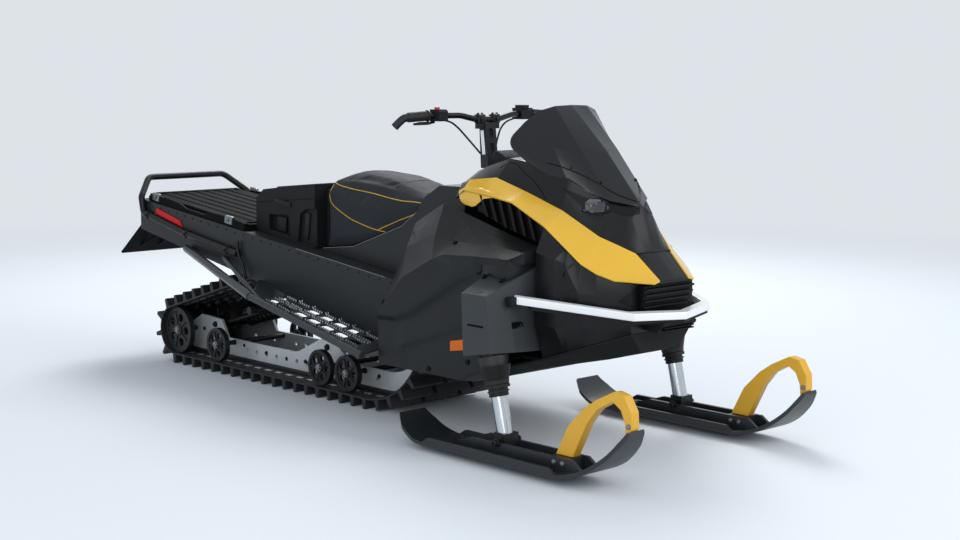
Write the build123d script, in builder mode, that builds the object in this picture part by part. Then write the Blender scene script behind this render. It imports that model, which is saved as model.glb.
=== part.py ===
from build123d import *
import math
import os

# Utility snowmobile, millimetres.
# +X points forward, +Y to the rider's left, +Z up.
# The origin is on the ground, midway along the length and the width.

os.makedirs("parts", exist_ok=True)

# ---------------------------------------------------------------- driving sizes
SIDES = {"right": -1, "left": 1}
NOSE_X = 1631.0            # ski tips
TAIL_X = -1631.0           # free edge of the snow flap
RUN_GAP = 0.3              # clearance between parts that seat on each other
SHAFT_GAP = 0.1            # radial clearance of a shaft in its bore

# skis and steering legs
SKI_STANCE = 900.0         # distance between the skis' centre planes
SKI_WIDTH = 184.0
SKI_LENGTH = 1041.0
SKI_THICKNESS = 12.0
KEEL_WIDTH = 46.0
KEEL_DEPTH = 22.0
SKI_RIB_HEIGHT = 46.0
SKI_RIB_THICKNESS = 12.0
SKI_SADDLE = 64.0          # clear width between a ski's two upright ribs
SKI_PIVOT_X = 1065.0
SKI_PIVOT_Z = 78.0
SKI_BOLT_RADIUS = 7.0
HANDLE_WIDTH = 36.0
LEG_RAKE = 13.5            # degrees from vertical, top rearward
LEG_RADIUS = 27.0
LEG_TOP_Z = 300.0
SLEEVE_RADIUS = 33.0
SLEEVE_BOTTOM_Z = 222.0
SLEEVE_TOP_Z = 560.0
BOOT_RINGS = [(258.0, 37.0), (322.0, 56.0)]     # height and radius of a boot's rings

# track: one closed belt on a slide-rail suspension
TRACK_WIDTH = 508.0
BELT_THICKNESS = 7.0
LUG_HEIGHT = 38.0
LUG_COUNT = 54
IDLER_RADIUS = 101.5
IDLER_X = -1225.0
UPPER_ROLLER_RADIUS = 68.0
UPPER_ROLLER_X = -560.0
UPPER_ROLLER_Z = 385.0
RAIL_FRONT_X = 95.0
RAIL_CURVE_RADIUS = 330.0
SPROCKET_RADIUS = 90.0
SPROCKET_X = RAIL_FRONT_X + RAIL_CURVE_RADIUS - 65.0
SPROCKET_Z = RAIL_CURVE_RADIUS + 10.0
RAIL_Y = 130.0             # centre plane of each slide rail
RAIL_THICKNESS = 12.0
RAIL_HEIGHT = 72.0
SHOE_HEIGHT = 14.0
SHOE_WIDTH = 30.0
WHEEL_WIDTH = 24.0
BOGIE_RADIUS = 72.0
BOGIE_X = (-930.0, -215.0, -46.0)
AXLE_RADIUS = 10.0

# tunnel and running boards
TUNNEL_HALF_WIDTH = 270.0
TUNNEL_SHEET = 4.0
TUNNEL_FRONT_X = 560.0
TUNNEL_REAR_X = -1450.0
TUNNEL_TOP_Z = 552.0       # height of the roof at x = 0
TUNNEL_TOP_SLOPE = 0.112   # the roof rises to the rear
TUNNEL_EDGE_Z = 330.0      # height of the lower edges at x = 0
TUNNEL_EDGE_SLOPE = 0.172
BOARD_OUTER_Y = 440.0
BOARD_REAR_X = -561.0       # the board's rear end beside the tunnel
BOARD_CORNER_X = -384.0     # and at its outer tube
BOARD_FRONT_X = 306.0
BOARD_SHEET = 5.0
BOARD_TUBE_RADIUS = 14.0

# body, seat and controls
SEAT_HALF_WIDTH = 172.0
HOOP_RADIUS = 14.0
BAR_RADIUS = 11.0
GRIP_RADIUS = 17.0
STEERING_RAKE = 4.5        # degrees from vertical, top rearward
PANEL_SKIN = 6.0
BUMPER_HEIGHT = 26.0
BUMPER_DEPTH = 34.0
LIP_HEIGHT = 12.0


# ---------------------------------------------------------------- helpers
def side_plane(y):
    """Plane whose sketch axes are X and Z, at this Y; its normal points to -Y."""
    return Plane(origin=(0, y, 0), x_dir=(1, 0, 0), z_dir=(0, -1, 0))


def cross_plane(x):
    """Plane whose sketch axes are Y and Z, at this X."""
    return Plane(origin=(x, 0, 0), x_dir=(0, 1, 0), z_dir=(1, 0, 0))


def slope_plane(x, z, fall):
    """Plane through (x, 0, z) that falls by this much for each unit forward."""
    return Plane(origin=(x, 0, z), x_dir=(1, 0, -fall), z_dir=(fall, 0, 1))


def side_prism(points, y_from, y_to, mode=Mode.ADD):
    """Prism of an XZ outline between two Y values."""
    with BuildSketch(side_plane(max(y_from, y_to))) as outline:
        with BuildLine():
            Polyline(*points, close=True)
        make_face()
    extrude(to_extrude=outline.sketch, amount=abs(y_to - y_from), mode=mode)


def section_loft(sections, plane_at, mode=Mode.ADD):
    """Straight-sided loft through outlines; each entry is a position and its points."""
    faces = []
    for position, points in sections:
        with BuildSketch(plane_at(position)) as outline:
            with BuildLine():
                Polyline(*points, close=True)
            make_face()
        faces.append(outline.sketch)
    loft(sections=faces, ruled=True, mode=mode)


def rod(start, end, radius, mode=Mode.ADD):
    """Round bar between two points."""
    axis = Vector(*end) - Vector(*start)
    with BuildSketch(Plane(origin=start, z_dir=axis)) as outline:
        Circle(radius)
    extrude(to_extrude=outline.sketch, amount=axis.length, mode=mode)


def cross_rod(x, z, y_from, y_to, radius, mode=Mode.ADD):
    """Round bar across the vehicle."""
    rod((x, min(y_from, y_to), z), (x, max(y_from, y_to), z), radius, mode)


def bent_tube(points, bend_radii, radius):
    """Round tube along straight runs joined by tangent arcs."""
    with BuildLine() as path:
        FilletPolyline(*points, radius=bend_radii)
    start = Vector(*points[0])
    with BuildSketch(Plane(origin=start, z_dir=Vector(*points[1]) - start)) as outline:
        Circle(radius)
    sweep(sections=outline.sketch, path=path.wires()[0])


def mirrored(points):
    """Right-hand outline points followed by their mirror images, across Y = 0."""
    return list(points) + [(-y, z) for y, z in reversed(points)]


def save(piece, name):
    """Label the finished piece and write its STEP file."""
    piece.part.label = name
    export_step(piece.part, f"parts/{name}.step")


def tunnel_top(x):
    return TUNNEL_TOP_Z - TUNNEL_TOP_SLOPE * x


def tunnel_edge(x):
    return TUNNEL_EDGE_Z - TUNNEL_EDGE_SLOPE * x


def leg_point(z):
    """Point on the right leg's axis at this height, as x and z."""
    return SKI_PIVOT_X - math.tan(math.radians(LEG_RAKE)) * (z - SKI_PIVOT_Z), z


def column_point(z):
    """Point on the steering column's axis at this height, as x and z."""
    return COLUMN_X - math.tan(math.radians(STEERING_RAKE)) * (z - COLUMN_Z), z


COLUMN_X = 512.0
COLUMN_Z = 925.0


# ---------------------------------------------------------------- track
# The belt's inner face runs round circles: (x, z, radius), in the order in which
# the belt meets them, counter-clockwise seen from the right-hand side (-Y).
FLAT_Z = LUG_HEIGHT + BELT_THICKNESS          # inner face of the belt on the ground run
ROUND_TRACK = [
    (IDLER_X, FLAT_Z + IDLER_RADIUS, IDLER_RADIUS),
    (RAIL_FRONT_X, FLAT_Z + RAIL_CURVE_RADIUS, RAIL_CURVE_RADIUS),
    (SPROCKET_X, SPROCKET_Z, SPROCKET_RADIUS),
    (UPPER_ROLLER_X, UPPER_ROLLER_Z, UPPER_ROLLER_RADIUS),
]


def belt_tangents(grow):
    """Straight runs of the belt, grown outward, as pairs of (x, z) tangent points."""
    runs = []
    for index, (ax, az, ar) in enumerate(ROUND_TRACK):
        bx, bz, br = ROUND_TRACK[(index + 1) % len(ROUND_TRACK)]
        length = math.hypot(bx - ax, bz - az)
        heading = math.atan2(bz - az, bx - ax)
        turn = heading - math.pi / 2 + math.asin((ar - br) / length)
        nx, nz = math.cos(turn), math.sin(turn)
        runs.append(((ax + (ar + grow) * nx, az + (ar + grow) * nz),
                     (bx + (br + grow) * nx, bz + (br + grow) * nz)))
    return runs


def belt_outline(grow):
    """The belt's inner face, grown outward, as a closed outline in sketch axes X and Z."""
    runs = belt_tangents(grow)
    with BuildSketch(Plane.XY) as outline:
        with BuildLine():
            for index, (start, end) in enumerate(runs):
                Line(start, end)
                cx, cz, radius = ROUND_TRACK[(index + 1) % len(ROUND_TRACK)]
                after = runs[(index + 1) % len(runs)][0]
                mx = (end[0] + after[0]) / 2 - cx
                mz = (end[1] + after[1]) / 2 - cz
                reach = (radius + grow) / math.hypot(mx, mz)
                ThreePointArc(end, (cx + mx * reach, cz + mz * reach), after)
        make_face()
    return outline.sketch


def belt_stations(count, grow):
    """Evenly spaced points along the belt with outward headings: (x, z, angle)."""
    runs = belt_tangents(grow)
    pieces = []
    for index, (start, end) in enumerate(runs):
        cx, cz, radius = ROUND_TRACK[(index + 1) % len(ROUND_TRACK)]
        after = runs[(index + 1) % len(runs)][0]
        from_angle = math.atan2(end[1] - cz, end[0] - cx)
        sweep_angle = (math.atan2(after[1] - cz, after[0] - cx) - from_angle) % math.tau
        pieces.append(("run", start, end, from_angle, math.dist(start, end)))
        pieces.append(("arc", (cx, cz), radius + grow, (from_angle, sweep_angle),
                       (radius + grow) * sweep_angle))
    total = sum(piece[4] for piece in pieces)
    stations = []
    for number in range(count):
        along = total * number / count
        for kind, first, second, angles, length in pieces:
            if along > length:
                along -= length
                continue
            share = along / length
            if kind == "run":
                x = first[0] + (second[0] - first[0]) * share
                z = first[1] + (second[1] - first[1]) * share
                heading = angles
            else:
                heading = angles[0] + angles[1] * share
                x = first[0] + second * math.cos(heading)
                z = first[1] + second * math.sin(heading)
            stations.append((x, z, heading))
            break
    return stations, total


LUG_ROOT = 26.0            # thickness of a lug along the belt, at its root
LUG_TIP = 15.0
LUG_ROWS = [(-TRACK_WIDTH / 2, -104.0), (-82.0, 82.0), (104.0, TRACK_WIDTH / 2)]
with BuildPart() as track:
    stations, belt_length = belt_stations(LUG_COUNT, BELT_THICKNESS)
    with BuildSketch(side_plane(0)) as toothed:
        add(belt_outline(BELT_THICKNESS))
        for x, z, heading in stations:
            out_x, out_z = math.cos(heading), math.sin(heading)
            corners = []
            for out, half in ((-BELT_THICKNESS / 2, -LUG_ROOT / 2), (LUG_HEIGHT, -LUG_TIP / 2),
                              (LUG_HEIGHT, LUG_TIP / 2), (-BELT_THICKNESS / 2, LUG_ROOT / 2)):
                corners.append((x + out * out_x - half * out_z, z + out * out_z + half * out_x))
            with BuildLine():
                Polyline(*corners, close=True)
            make_face()
        add(belt_outline(0), mode=Mode.SUBTRACT)
    with BuildSketch(side_plane(0)) as plain:
        add(belt_outline(BELT_THICKNESS))
        add(belt_outline(0), mode=Mode.SUBTRACT)
    # the lugs stand in three rows, with the bare belt between them
    edges = [edge for row in LUG_ROWS for edge in row]
    for index, (y_from, y_to) in enumerate(zip(edges, edges[1:])):
        band = (toothed if index % 2 == 0 else plain).sketch.moved(Location((0, y_to, 0)))
        extrude(to_extrude=band, amount=y_to - y_from)
save(track, "track")
print("belt length at its inner face", round(belt_length), "lug pitch", round(belt_length / LUG_COUNT, 1))


# ---------------------------------------------------------------- slide rails and wheels
SHOE_Z = FLAT_Z + RUN_GAP
RAIL_BOTTOM_Z = SHOE_Z + SHOE_HEIGHT
RAIL_CENTRE_Z = FLAT_Z + RAIL_CURVE_RADIUS
RAIL_REAR_X = IDLER_X - 28.0      # the rails reach just past the rear axle
CURVE_END = 46.0           # degrees of curve-up at the front of a rail


def rail_outline(inner_radius, outer_radius, z_low, z_high, rear_x):
    """Band along the flat run that curves up in front, about the rail's curve centre."""
    angle = math.radians(CURVE_END)
    low_end = (RAIL_FRONT_X + outer_radius * math.sin(angle),
               RAIL_CENTRE_Z - outer_radius * math.cos(angle))
    high_end = (RAIL_FRONT_X + inner_radius * math.sin(angle),
                RAIL_CENTRE_Z - inner_radius * math.cos(angle))
    half = angle / 2
    low_mid = (RAIL_FRONT_X + outer_radius * math.sin(half),
               RAIL_CENTRE_Z - outer_radius * math.cos(half))
    high_mid = (RAIL_FRONT_X + inner_radius * math.sin(half),
                RAIL_CENTRE_Z - inner_radius * math.cos(half))
    with BuildLine() as edge:
        Line((rear_x, z_high), (rear_x, z_low))
        Line((rear_x, z_low), (RAIL_FRONT_X, z_low))
        ThreePointArc((RAIL_FRONT_X, z_low), low_mid, low_end)
        Line(low_end, high_end)
        ThreePointArc(high_end, high_mid, (RAIL_FRONT_X, z_high))
        Line((RAIL_FRONT_X, z_high), (rear_x, z_high))
    return edge


def rail_band(y_centre, width, z_low, z_high, rear_x):
    """Solid band of the rail's side outline, centred at this Y."""
    edge = rail_outline(RAIL_CENTRE_Z - z_high, RAIL_CENTRE_Z - z_low, z_low, z_high, rear_x)
    with BuildSketch(side_plane(y_centre + width / 2)) as outline:
        add(edge.line)
        make_face()
    extrude(to_extrude=outline.sketch, amount=width)


RAIL_TOP_Z = RAIL_BOTTOM_Z + RAIL_HEIGHT
IDLER_Z = FLAT_Z + IDLER_RADIUS
BOGIE_Z = FLAT_Z + BOGIE_RADIUS
OUTER_WHEEL_Y = 222.0
OUTER_WHEELS = (-OUTER_WHEEL_Y, OUTER_WHEEL_Y)
# Wheels on axles across the skid; each row: x, z, radius, y of each wheel's centre
WHEEL_SETS = {
    "rear_idlers": [(IDLER_X, IDLER_Z, IDLER_RADIUS, (-OUTER_WHEEL_Y, 0, OUTER_WHEEL_Y))],
    "bogie_wheels": [(x, BOGIE_Z, BOGIE_RADIUS, OUTER_WHEELS) for x in BOGIE_X],
}
RIM_SHARE = 0.80           # a wheel's web reaches to this share of its radius
WINDOW_COUNT = 5


def wheel(x, z, y, radius):
    """Wheel with a dished web, windows through it and a hub, on an axle across."""
    cross_rod(x, z, y - WHEEL_WIDTH / 2, y + WHEEL_WIDTH / 2, radius - RUN_GAP)
    web = WHEEL_WIDTH * 0.28
    for face in (-1, 1):
        cross_rod(x, z, y + face * web, y + face * (WHEEL_WIDTH / 2 + 1), radius * RIM_SHARE,
                  Mode.SUBTRACT)
    window = radius * 0.17
    for number in range(WINDOW_COUNT):
        angle = math.tau * number / WINDOW_COUNT
        cross_rod(x + radius * 0.55 * math.cos(angle), z + radius * 0.55 * math.sin(angle),
                  y - WHEEL_WIDTH, y + WHEEL_WIDTH, window, Mode.SUBTRACT)
    cross_rod(x, z, y - WHEEL_WIDTH / 2, y + WHEEL_WIDTH / 2, radius * 0.26)


for name, axles in WHEEL_SETS.items():
    with BuildPart() as wheels:
        for x, z, radius, places in axles:
            for y in places:
                wheel(x, z, y, radius)
            cross_rod(x, z, min(places), max(places), AXLE_RADIUS)
    save(wheels, name)

# Raised plates of a rail, as XZ outlines: rear plate for the axle and arm, front plate for its arm
RAIL_PLATES = [
    [(RAIL_REAR_X, RAIL_TOP_Z - 4), (-980, RAIL_TOP_Z - 4), (-1030, 205), (-1180, 212),
     (RAIL_REAR_X, IDLER_Z + 26)],
    [(-520, RAIL_TOP_Z - 4), (-100, RAIL_TOP_Z - 4), (-180, 165), (-240, 206), (-330, 206), (-470, 140)],
]
RAIL_HOLE_RADIUS = 9.0
RAIL_HOLE_Z = RAIL_BOTTOM_Z + 34.0
RAIL_HOLES = [-1140, -1070, -1000, -840, -770, -700, -630, -560, -490, -420, -350, -285, -130, 30]
with BuildPart() as rails:
    for sign in SIDES.values():
        rail_band(sign * RAIL_Y, RAIL_THICKNESS, RAIL_BOTTOM_Z, RAIL_TOP_Z, RAIL_REAR_X)
        for plate in RAIL_PLATES:
            side_prism(plate, sign * RAIL_Y - RAIL_THICKNESS / 2, sign * RAIL_Y + RAIL_THICKNESS / 2)
        for x, z, radius, places in WHEEL_SETS["rear_idlers"] + WHEEL_SETS["bogie_wheels"]:
            cross_rod(x, z, sign * RAIL_Y - RAIL_THICKNESS, sign * RAIL_Y + RAIL_THICKNESS,
                      AXLE_RADIUS + RUN_GAP, Mode.SUBTRACT)
    for x in RAIL_HOLES:
        cross_rod(x, RAIL_HOLE_Z, -RAIL_Y - RAIL_THICKNESS, RAIL_Y + RAIL_THICKNESS, RAIL_HOLE_RADIUS,
                  Mode.SUBTRACT)
save(rails, "slide_rails")

with BuildPart() as shoes:
    for sign in SIDES.values():
        rail_band(sign * RAIL_Y, SHOE_WIDTH, SHOE_Z, RAIL_BOTTOM_Z, RAIL_REAR_X + 40)
save(shoes, "slide_shoes")


# ---------------------------------------------------------------- rollers, arms and drive
ROLLER_Y = 90.0
TUNNEL_INNER_Y = TUNNEL_HALF_WIDTH - TUNNEL_SHEET
AXLE_END_Y = TUNNEL_INNER_Y - RUN_GAP     # axles reach from one tunnel side to the other
with BuildPart() as rollers:
    cross_rod(UPPER_ROLLER_X, UPPER_ROLLER_Z, -AXLE_END_Y, AXLE_END_Y, AXLE_RADIUS)
    for sign in SIDES.values():
        cross_rod(UPPER_ROLLER_X, UPPER_ROLLER_Z, sign * ROLLER_Y - WHEEL_WIDTH / 2,
                  sign * ROLLER_Y + WHEEL_WIDTH / 2, UPPER_ROLLER_RADIUS - RUN_GAP)
save(rollers, "upper_rollers")

DRIVE_AXLE_RADIUS = 16.0
with BuildPart() as drive:
    cross_rod(SPROCKET_X, SPROCKET_Z, -AXLE_END_Y, AXLE_END_Y, DRIVE_AXLE_RADIUS)
    for sign in SIDES.values():
        cross_rod(SPROCKET_X, SPROCKET_Z, sign * ROLLER_Y - WHEEL_WIDTH, sign * ROLLER_Y + WHEEL_WIDTH,
                  SPROCKET_RADIUS - RUN_GAP)
save(drive, "drive_axle")

# Arms inside the loop: name, upper pivot (x, z), lower pivot (x, z)
ARM_Y = RAIL_Y - RAIL_THICKNESS / 2 - RUN_GAP     # outer face of an arm's legs
ARM_WIDTH = 26.0
ARM_RADIUS = 16.0
FRONT_ARM = ((90.0, 330.0), (-285.0, 178.0))
REAR_ARM = ((-640.0, 300.0), (-1075.0, 178.0))
with BuildPart() as arms:
    for upper, lower in (FRONT_ARM, REAR_ARM):
        cross_rod(*upper, -AXLE_END_Y, AXLE_END_Y, ARM_RADIUS)
        cross_rod(*lower, -ARM_Y, ARM_Y, ARM_RADIUS)
        for sign in SIDES.values():
            y = sign * (ARM_Y - ARM_WIDTH)
            rod((upper[0], y, upper[1]), (lower[0], y, lower[1]), ARM_WIDTH / 2)
save(arms, "suspension_arms")

# Two dampers with their springs, along the middle: lower end, upper end
SHOCK_RADIUS = 21.0
SPRING_RADIUS = 34.0
COIL_COUNT = 9
COIL_SHARE = 0.55          # share of a coil's pitch that its wire fills
SHOCKS = [(FRONT_ARM[1], FRONT_ARM[0]), (REAR_ARM[1], REAR_ARM[0])]
with BuildPart() as shocks:
    for low, high in SHOCKS:
        axis = Vector(high[0] - low[0], 0, high[1] - low[1]).normalized()
        start = Vector(low[0], 0, low[1]) + axis * (ARM_RADIUS + RUN_GAP)
        end = Vector(high[0], 0, high[1]) - axis * (ARM_RADIUS + RUN_GAP)
        rod(tuple(start), tuple(end), SHOCK_RADIUS)
        # the spring's coils, as rings along the damper
        pitch = (end - start).length * 0.7 / COIL_COUNT
        for coil in range(COIL_COUNT):
            foot = start + axis * ((end - start).length * 0.15 + coil * pitch)
            rod(tuple(foot), tuple(foot + axis * pitch * COIL_SHARE), SPRING_RADIUS)
save(shocks, "shock_absorbers")


# ---------------------------------------------------------------- tunnel and running boards
with BuildPart() as tunnel:
    side_prism([(TUNNEL_FRONT_X, tunnel_edge(TUNNEL_FRONT_X)), (TUNNEL_FRONT_X, tunnel_top(TUNNEL_FRONT_X)),
                (TUNNEL_REAR_X, tunnel_top(TUNNEL_REAR_X)), (TUNNEL_REAR_X, tunnel_edge(TUNNEL_REAR_X))],
               -TUNNEL_HALF_WIDTH, TUNNEL_HALF_WIDTH)
    side_prism([(TUNNEL_FRONT_X + 1, 0), (TUNNEL_FRONT_X + 1, tunnel_top(TUNNEL_FRONT_X + 1) - TUNNEL_SHEET),
                (TUNNEL_REAR_X - 1, tunnel_top(TUNNEL_REAR_X - 1) - TUNNEL_SHEET), (TUNNEL_REAR_X - 1, 0)],
               -TUNNEL_INNER_Y, TUNNEL_INNER_Y, Mode.SUBTRACT)
save(tunnel, "tunnel")

BOARD_INNER_Y = TUNNEL_HALF_WIDTH + RUN_GAP
BOARD_REAR_OUTER_Z = 402.0
BOARD_FRONT_OUTER_Z = 260.0
# Openings through a board, as a share of the way along it and across it
SLOT_ALONG = (0.13, 0.25, 0.37, 0.49, 0.61, 0.73, 0.85)
SLOT_ACROSS = (0.32, 0.68)
SLOT_SIZE = (62.0, 34.0)
STRUT_RADIUS = 17.0
STRUT_TOP_Y = TUNNEL_HALF_WIDTH + STRUT_RADIUS + RUN_GAP
BRACE_RADIUS = 10.0
STRUT_TOP = (-1060.0, tunnel_edge(-1060) + 12)
BRACE_TOP = (-790.0, 508.0)


def board_edge(x):
    """Height of the board's outer edge at this X."""
    share = (x - BOARD_CORNER_X) / (BOARD_FRONT_X - BOARD_CORNER_X)
    return BOARD_REAR_OUTER_Z + (BOARD_FRONT_OUTER_Z - BOARD_REAR_OUTER_Z) * share


with BuildPart() as boards:
    for sign in SIDES.values():
        inner = [(BOARD_REAR_X, tunnel_edge(BOARD_REAR_X) + BOARD_SHEET),
                 (BOARD_FRONT_X, tunnel_edge(BOARD_FRONT_X) + BOARD_SHEET)]
        outer = [(BOARD_CORNER_X, BOARD_REAR_OUTER_Z), (BOARD_FRONT_X, BOARD_FRONT_OUTER_Z)]
        edges = []
        for y, ends in ((BOARD_INNER_Y, inner), (BOARD_OUTER_Y, outer)):
            edges.append((sign * y, ends + [(x, z + BOARD_SHEET) for x, z in reversed(ends)]))
        section_loft(edges, side_plane)
        for along in SLOT_ALONG:
            for across in SLOT_ACROSS:
                x = BOARD_CORNER_X + (BOARD_FRONT_X - BOARD_CORNER_X) * along
                y = sign * (BOARD_INNER_Y + (BOARD_OUTER_Y - BOARD_INNER_Y) * across)
                with BuildSketch(Plane.XY.offset(board_edge(x) - 60)) as slot_outline:
                    with Locations((x, y)):
                        SlotOverall(*SLOT_SIZE)
                extrude(to_extrude=slot_outline.sketch, amount=140, mode=Mode.SUBTRACT)
        corner = (BOARD_CORNER_X, sign * BOARD_OUTER_Y, BOARD_REAR_OUTER_Z)
        rod(corner, (BOARD_FRONT_X, sign * BOARD_OUTER_Y, BOARD_FRONT_OUTER_Z), BOARD_TUBE_RADIUS)
        # a strut and a thinner brace run rearward and inward to the tunnel's side
        rod(corner, (STRUT_TOP[0], sign * STRUT_TOP_Y, STRUT_TOP[1]), STRUT_RADIUS)
        foot_x = BOARD_CORNER_X + 78
        rod((foot_x, sign * BOARD_OUTER_Y, board_edge(foot_x)),
            (BRACE_TOP[0], sign * (TUNNEL_HALF_WIDTH + BRACE_RADIUS + RUN_GAP), BRACE_TOP[1]), BRACE_RADIUS)
save(boards, "running_boards")


# ---------------------------------------------------------------- rear: deck, box, hoop, flap, hitch
DECK_FRONT_X = -668.0
DECK_REAR_X = -1426.0
DECK_HALF_WIDTH = 236.0
DECK_THICKNESS = 26.0
DECK_FLANGE = 8.0
DECK_RAIL_Y = (248.0, 264.0)
RAIL_END_X = -1392.0
# Top of a side rail, rear to front: x and height above the tunnel's roof
DECK_RAIL_TOP = [(RAIL_END_X, 24), (-1250, 36), (-1150, 30), (-1100, 16), (-960, 16), (-930, 34), (-760, 38),
                 (DECK_FRONT_X, 30)]
with BuildPart() as deck:
    ends = [(x, tunnel_top(x)) for x in (DECK_FRONT_X, DECK_REAR_X)]
    side_prism([*[(x, z + RUN_GAP) for x, z in ends], *[(x, z + DECK_THICKNESS) for x, z in reversed(ends)]],
               -DECK_HALF_WIDTH, DECK_HALF_WIDTH)
    # low side rails, raised at both ends, on a thin flange outside the flat deck
    for sign in SIDES.values():
        ends = [(x, tunnel_top(x) + RUN_GAP) for x in (DECK_FRONT_X, RAIL_END_X)]
        side_prism([*ends, *[(x, z + DECK_FLANGE) for x, z in reversed(ends)]],
                   sign * (DECK_HALF_WIDTH - 1), sign * DECK_RAIL_Y[1])
        side_prism([*ends, *[(x, tunnel_top(x) + rise) for x, rise in DECK_RAIL_TOP]],
                   sign * DECK_RAIL_Y[0], sign * DECK_RAIL_Y[1])
save(deck, "cargo_deck")

BOX_FRONT_X = -272.0
BOX_REAR_X = -664.0
BOX_HALF_WIDTH = 205.0
BOX_RECESS_DEPTH = 22.0
BOX_SIDE = [(BOX_REAR_X, 762), (BOX_REAR_X + 50, 800), (-420, 824), (BOX_FRONT_X, 838)]
# Hollows in the box's sides, as an XZ outline and a depth: carved panel, hand slot, front panel
# and the groove under the lid
BOX_HOLLOWS = [
    ([(-575, 640), (-575, 700), (-440, 706), (-432, 622)], BOX_RECESS_DEPTH),
    ([(-533, 757), (-530, 768), (-420, 752), (-426, 738)], BOX_RECESS_DEPTH),
    ([(-383, 604), (-365, 716), (-330, 735), (BOX_FRONT_X + 1, 742), (BOX_FRONT_X + 1, 592)], 12.0),
    ([(BOX_REAR_X - 1, 741), (BOX_FRONT_X + 1, 780), (BOX_FRONT_X + 1, 785), (BOX_REAR_X - 1, 746)], 4.0),
]
with BuildPart() as box:
    base = [(x, tunnel_top(x) + RUN_GAP) for x in (BOX_FRONT_X, BOX_REAR_X)]
    side_prism([*base, *BOX_SIDE], -BOX_HALF_WIDTH, BOX_HALF_WIDTH)
    for sign in SIDES.values():
        for hollow, depth in BOX_HOLLOWS:
            side_prism(hollow, sign * (BOX_HALF_WIDTH - depth), sign * (BOX_HALF_WIDTH + 1), Mode.SUBTRACT)
save(box, "rear_box")

HOOP_Y = TUNNEL_HALF_WIDTH + HOOP_RADIUS + RUN_GAP
HOOP_PATH = [(-690, HOOP_Y, 533), (-1100, HOOP_Y, 592), (-1402, HOOP_Y, 656), (-1418, HOOP_Y, 724),
             (-1490, 200, 804)]
with BuildPart() as hoop:
    right_half = [(x, -y, z) for x, y, z in HOOP_PATH]
    points = right_half + list(reversed(HOOP_PATH))
    bend_radii = [200, 24, 24, 48, 48, 24, 24, 200]
    bent_tube(points, bend_radii, HOOP_RADIUS)
save(hoop, "rear_hoop")

FLAP_THICKNESS = 6.0
FLAP_TOP_X = TUNNEL_REAR_X + 30
FLAP_TOP = (FLAP_TOP_X, tunnel_edge(FLAP_TOP_X) + 52)
FLAP_LOW = (TAIL_X, 456.0)
FLAP_HALF_WIDTH = TUNNEL_INNER_Y - RUN_GAP
with BuildPart() as flap:
    side_prism([(FLAP_TOP[0], FLAP_TOP[1]), (FLAP_LOW[0], FLAP_LOW[1] + FLAP_THICKNESS), FLAP_LOW,
                (FLAP_LOW[0] + 8, FLAP_LOW[1] - 2), (FLAP_TOP[0], FLAP_TOP[1] - 12)],
               -FLAP_HALF_WIDTH, FLAP_HALF_WIDTH)
save(flap, "snow_flap")


# ---------------------------------------------------------------- seat and tank cover
TANK_HALF_WIDTH = 190.0
TANK_TOP_Z = 875.0
HOOD_REAR_X = 582.0
TANK_FRONT_X = HOOD_REAR_X - RUN_GAP
COLUMN_RADIUS = 15.0
COLLAR_RADIUS = 29.0
COLUMN_LOW_Z = TANK_TOP_Z - 12.0
# Top of the tank cover under the seat and in front of it, rear to front
TANK_LINE = [(-236, 590), (-45, 612), (239, 712), (330, 775), (352, 818), (448, 874)]
with BuildPart() as tank:
    base = [(x, tunnel_top(x) + RUN_GAP) for x in (TANK_FRONT_X, TANK_LINE[0][0])]
    side_prism([*base, *TANK_LINE, (TANK_FRONT_X, TANK_TOP_Z)], -TANK_HALF_WIDTH, TANK_HALF_WIDTH)
    # collar and bore for the steering column
    low, high = column_point(TANK_TOP_Z - 10), column_point(TANK_TOP_Z + 26)
    rod((low[0], 0, low[1]), (high[0], 0, high[1]), COLLAR_RADIUS)
    low, high = column_point(COLUMN_LOW_Z - RUN_GAP), column_point(TANK_TOP_Z + 40)
    rod((low[0], 0, low[1]), (high[0], 0, high[1]), COLUMN_RADIUS + SHAFT_GAP, Mode.SUBTRACT)
save(tank, "tank_cover")

# Seat sections, rear to front: x, height of the underside, half width and height of the side's
# edge, half width of the crown, height of the crest
SEAT_SINK = 4.0            # the underside starts this much low, and is cut to the tank cover
SEAT_SECTIONS = [
    (-268, 596, 150, 800, 120, 842),
    (-232, 592, 172, 812, 138, 878),
    (-120, 604, SEAT_HALF_WIDTH, 812, 140, 886),
    (40, 643, SEAT_HALF_WIDTH, 806, 138, 876),
    (150, 682, 166, 796, 128, 852),
    (262, 732, 150, 790, 116, 824),
    (326, 775, 132, 790, 96, 806),
]
with BuildPart() as seat:
    outlines = []
    for x, low_z, side_y, side_z, crown_y, crest_z in SEAT_SECTIONS:
        crown_z = crest_z - 0.25 * (crest_z - side_z)
        outlines.append((x, mirrored([(-side_y + 6, low_z - SEAT_SINK), (-side_y, side_z),
                                      (-crown_y, crown_z), (-crown_y / 3, crest_z)])))
    section_loft(outlines, cross_plane)
    add(tank.part, mode=Mode.SUBTRACT)
save(seat, "seat")


# ---------------------------------------------------------------- engine bay
PAN_SKIN = 8.0
# Belly pan sections: x, half width and height of its floor, half width and height of its edge
BELLY_SECTIONS = [
    (568, 190, 232, TUNNEL_HALF_WIDTH, 262),
    (803, 200, 222, TUNNEL_HALF_WIDTH, 262),
    (900, 200, 252, TUNNEL_HALF_WIDTH, 280),
    (1040, 200, 290, TUNNEL_HALF_WIDTH, 318),
    (1240, 150, 336, 214, 388),
    (1340, 96, 364, 150, 426),
]
PAN_END_X = BELLY_SECTIONS[-1][0]


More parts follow.
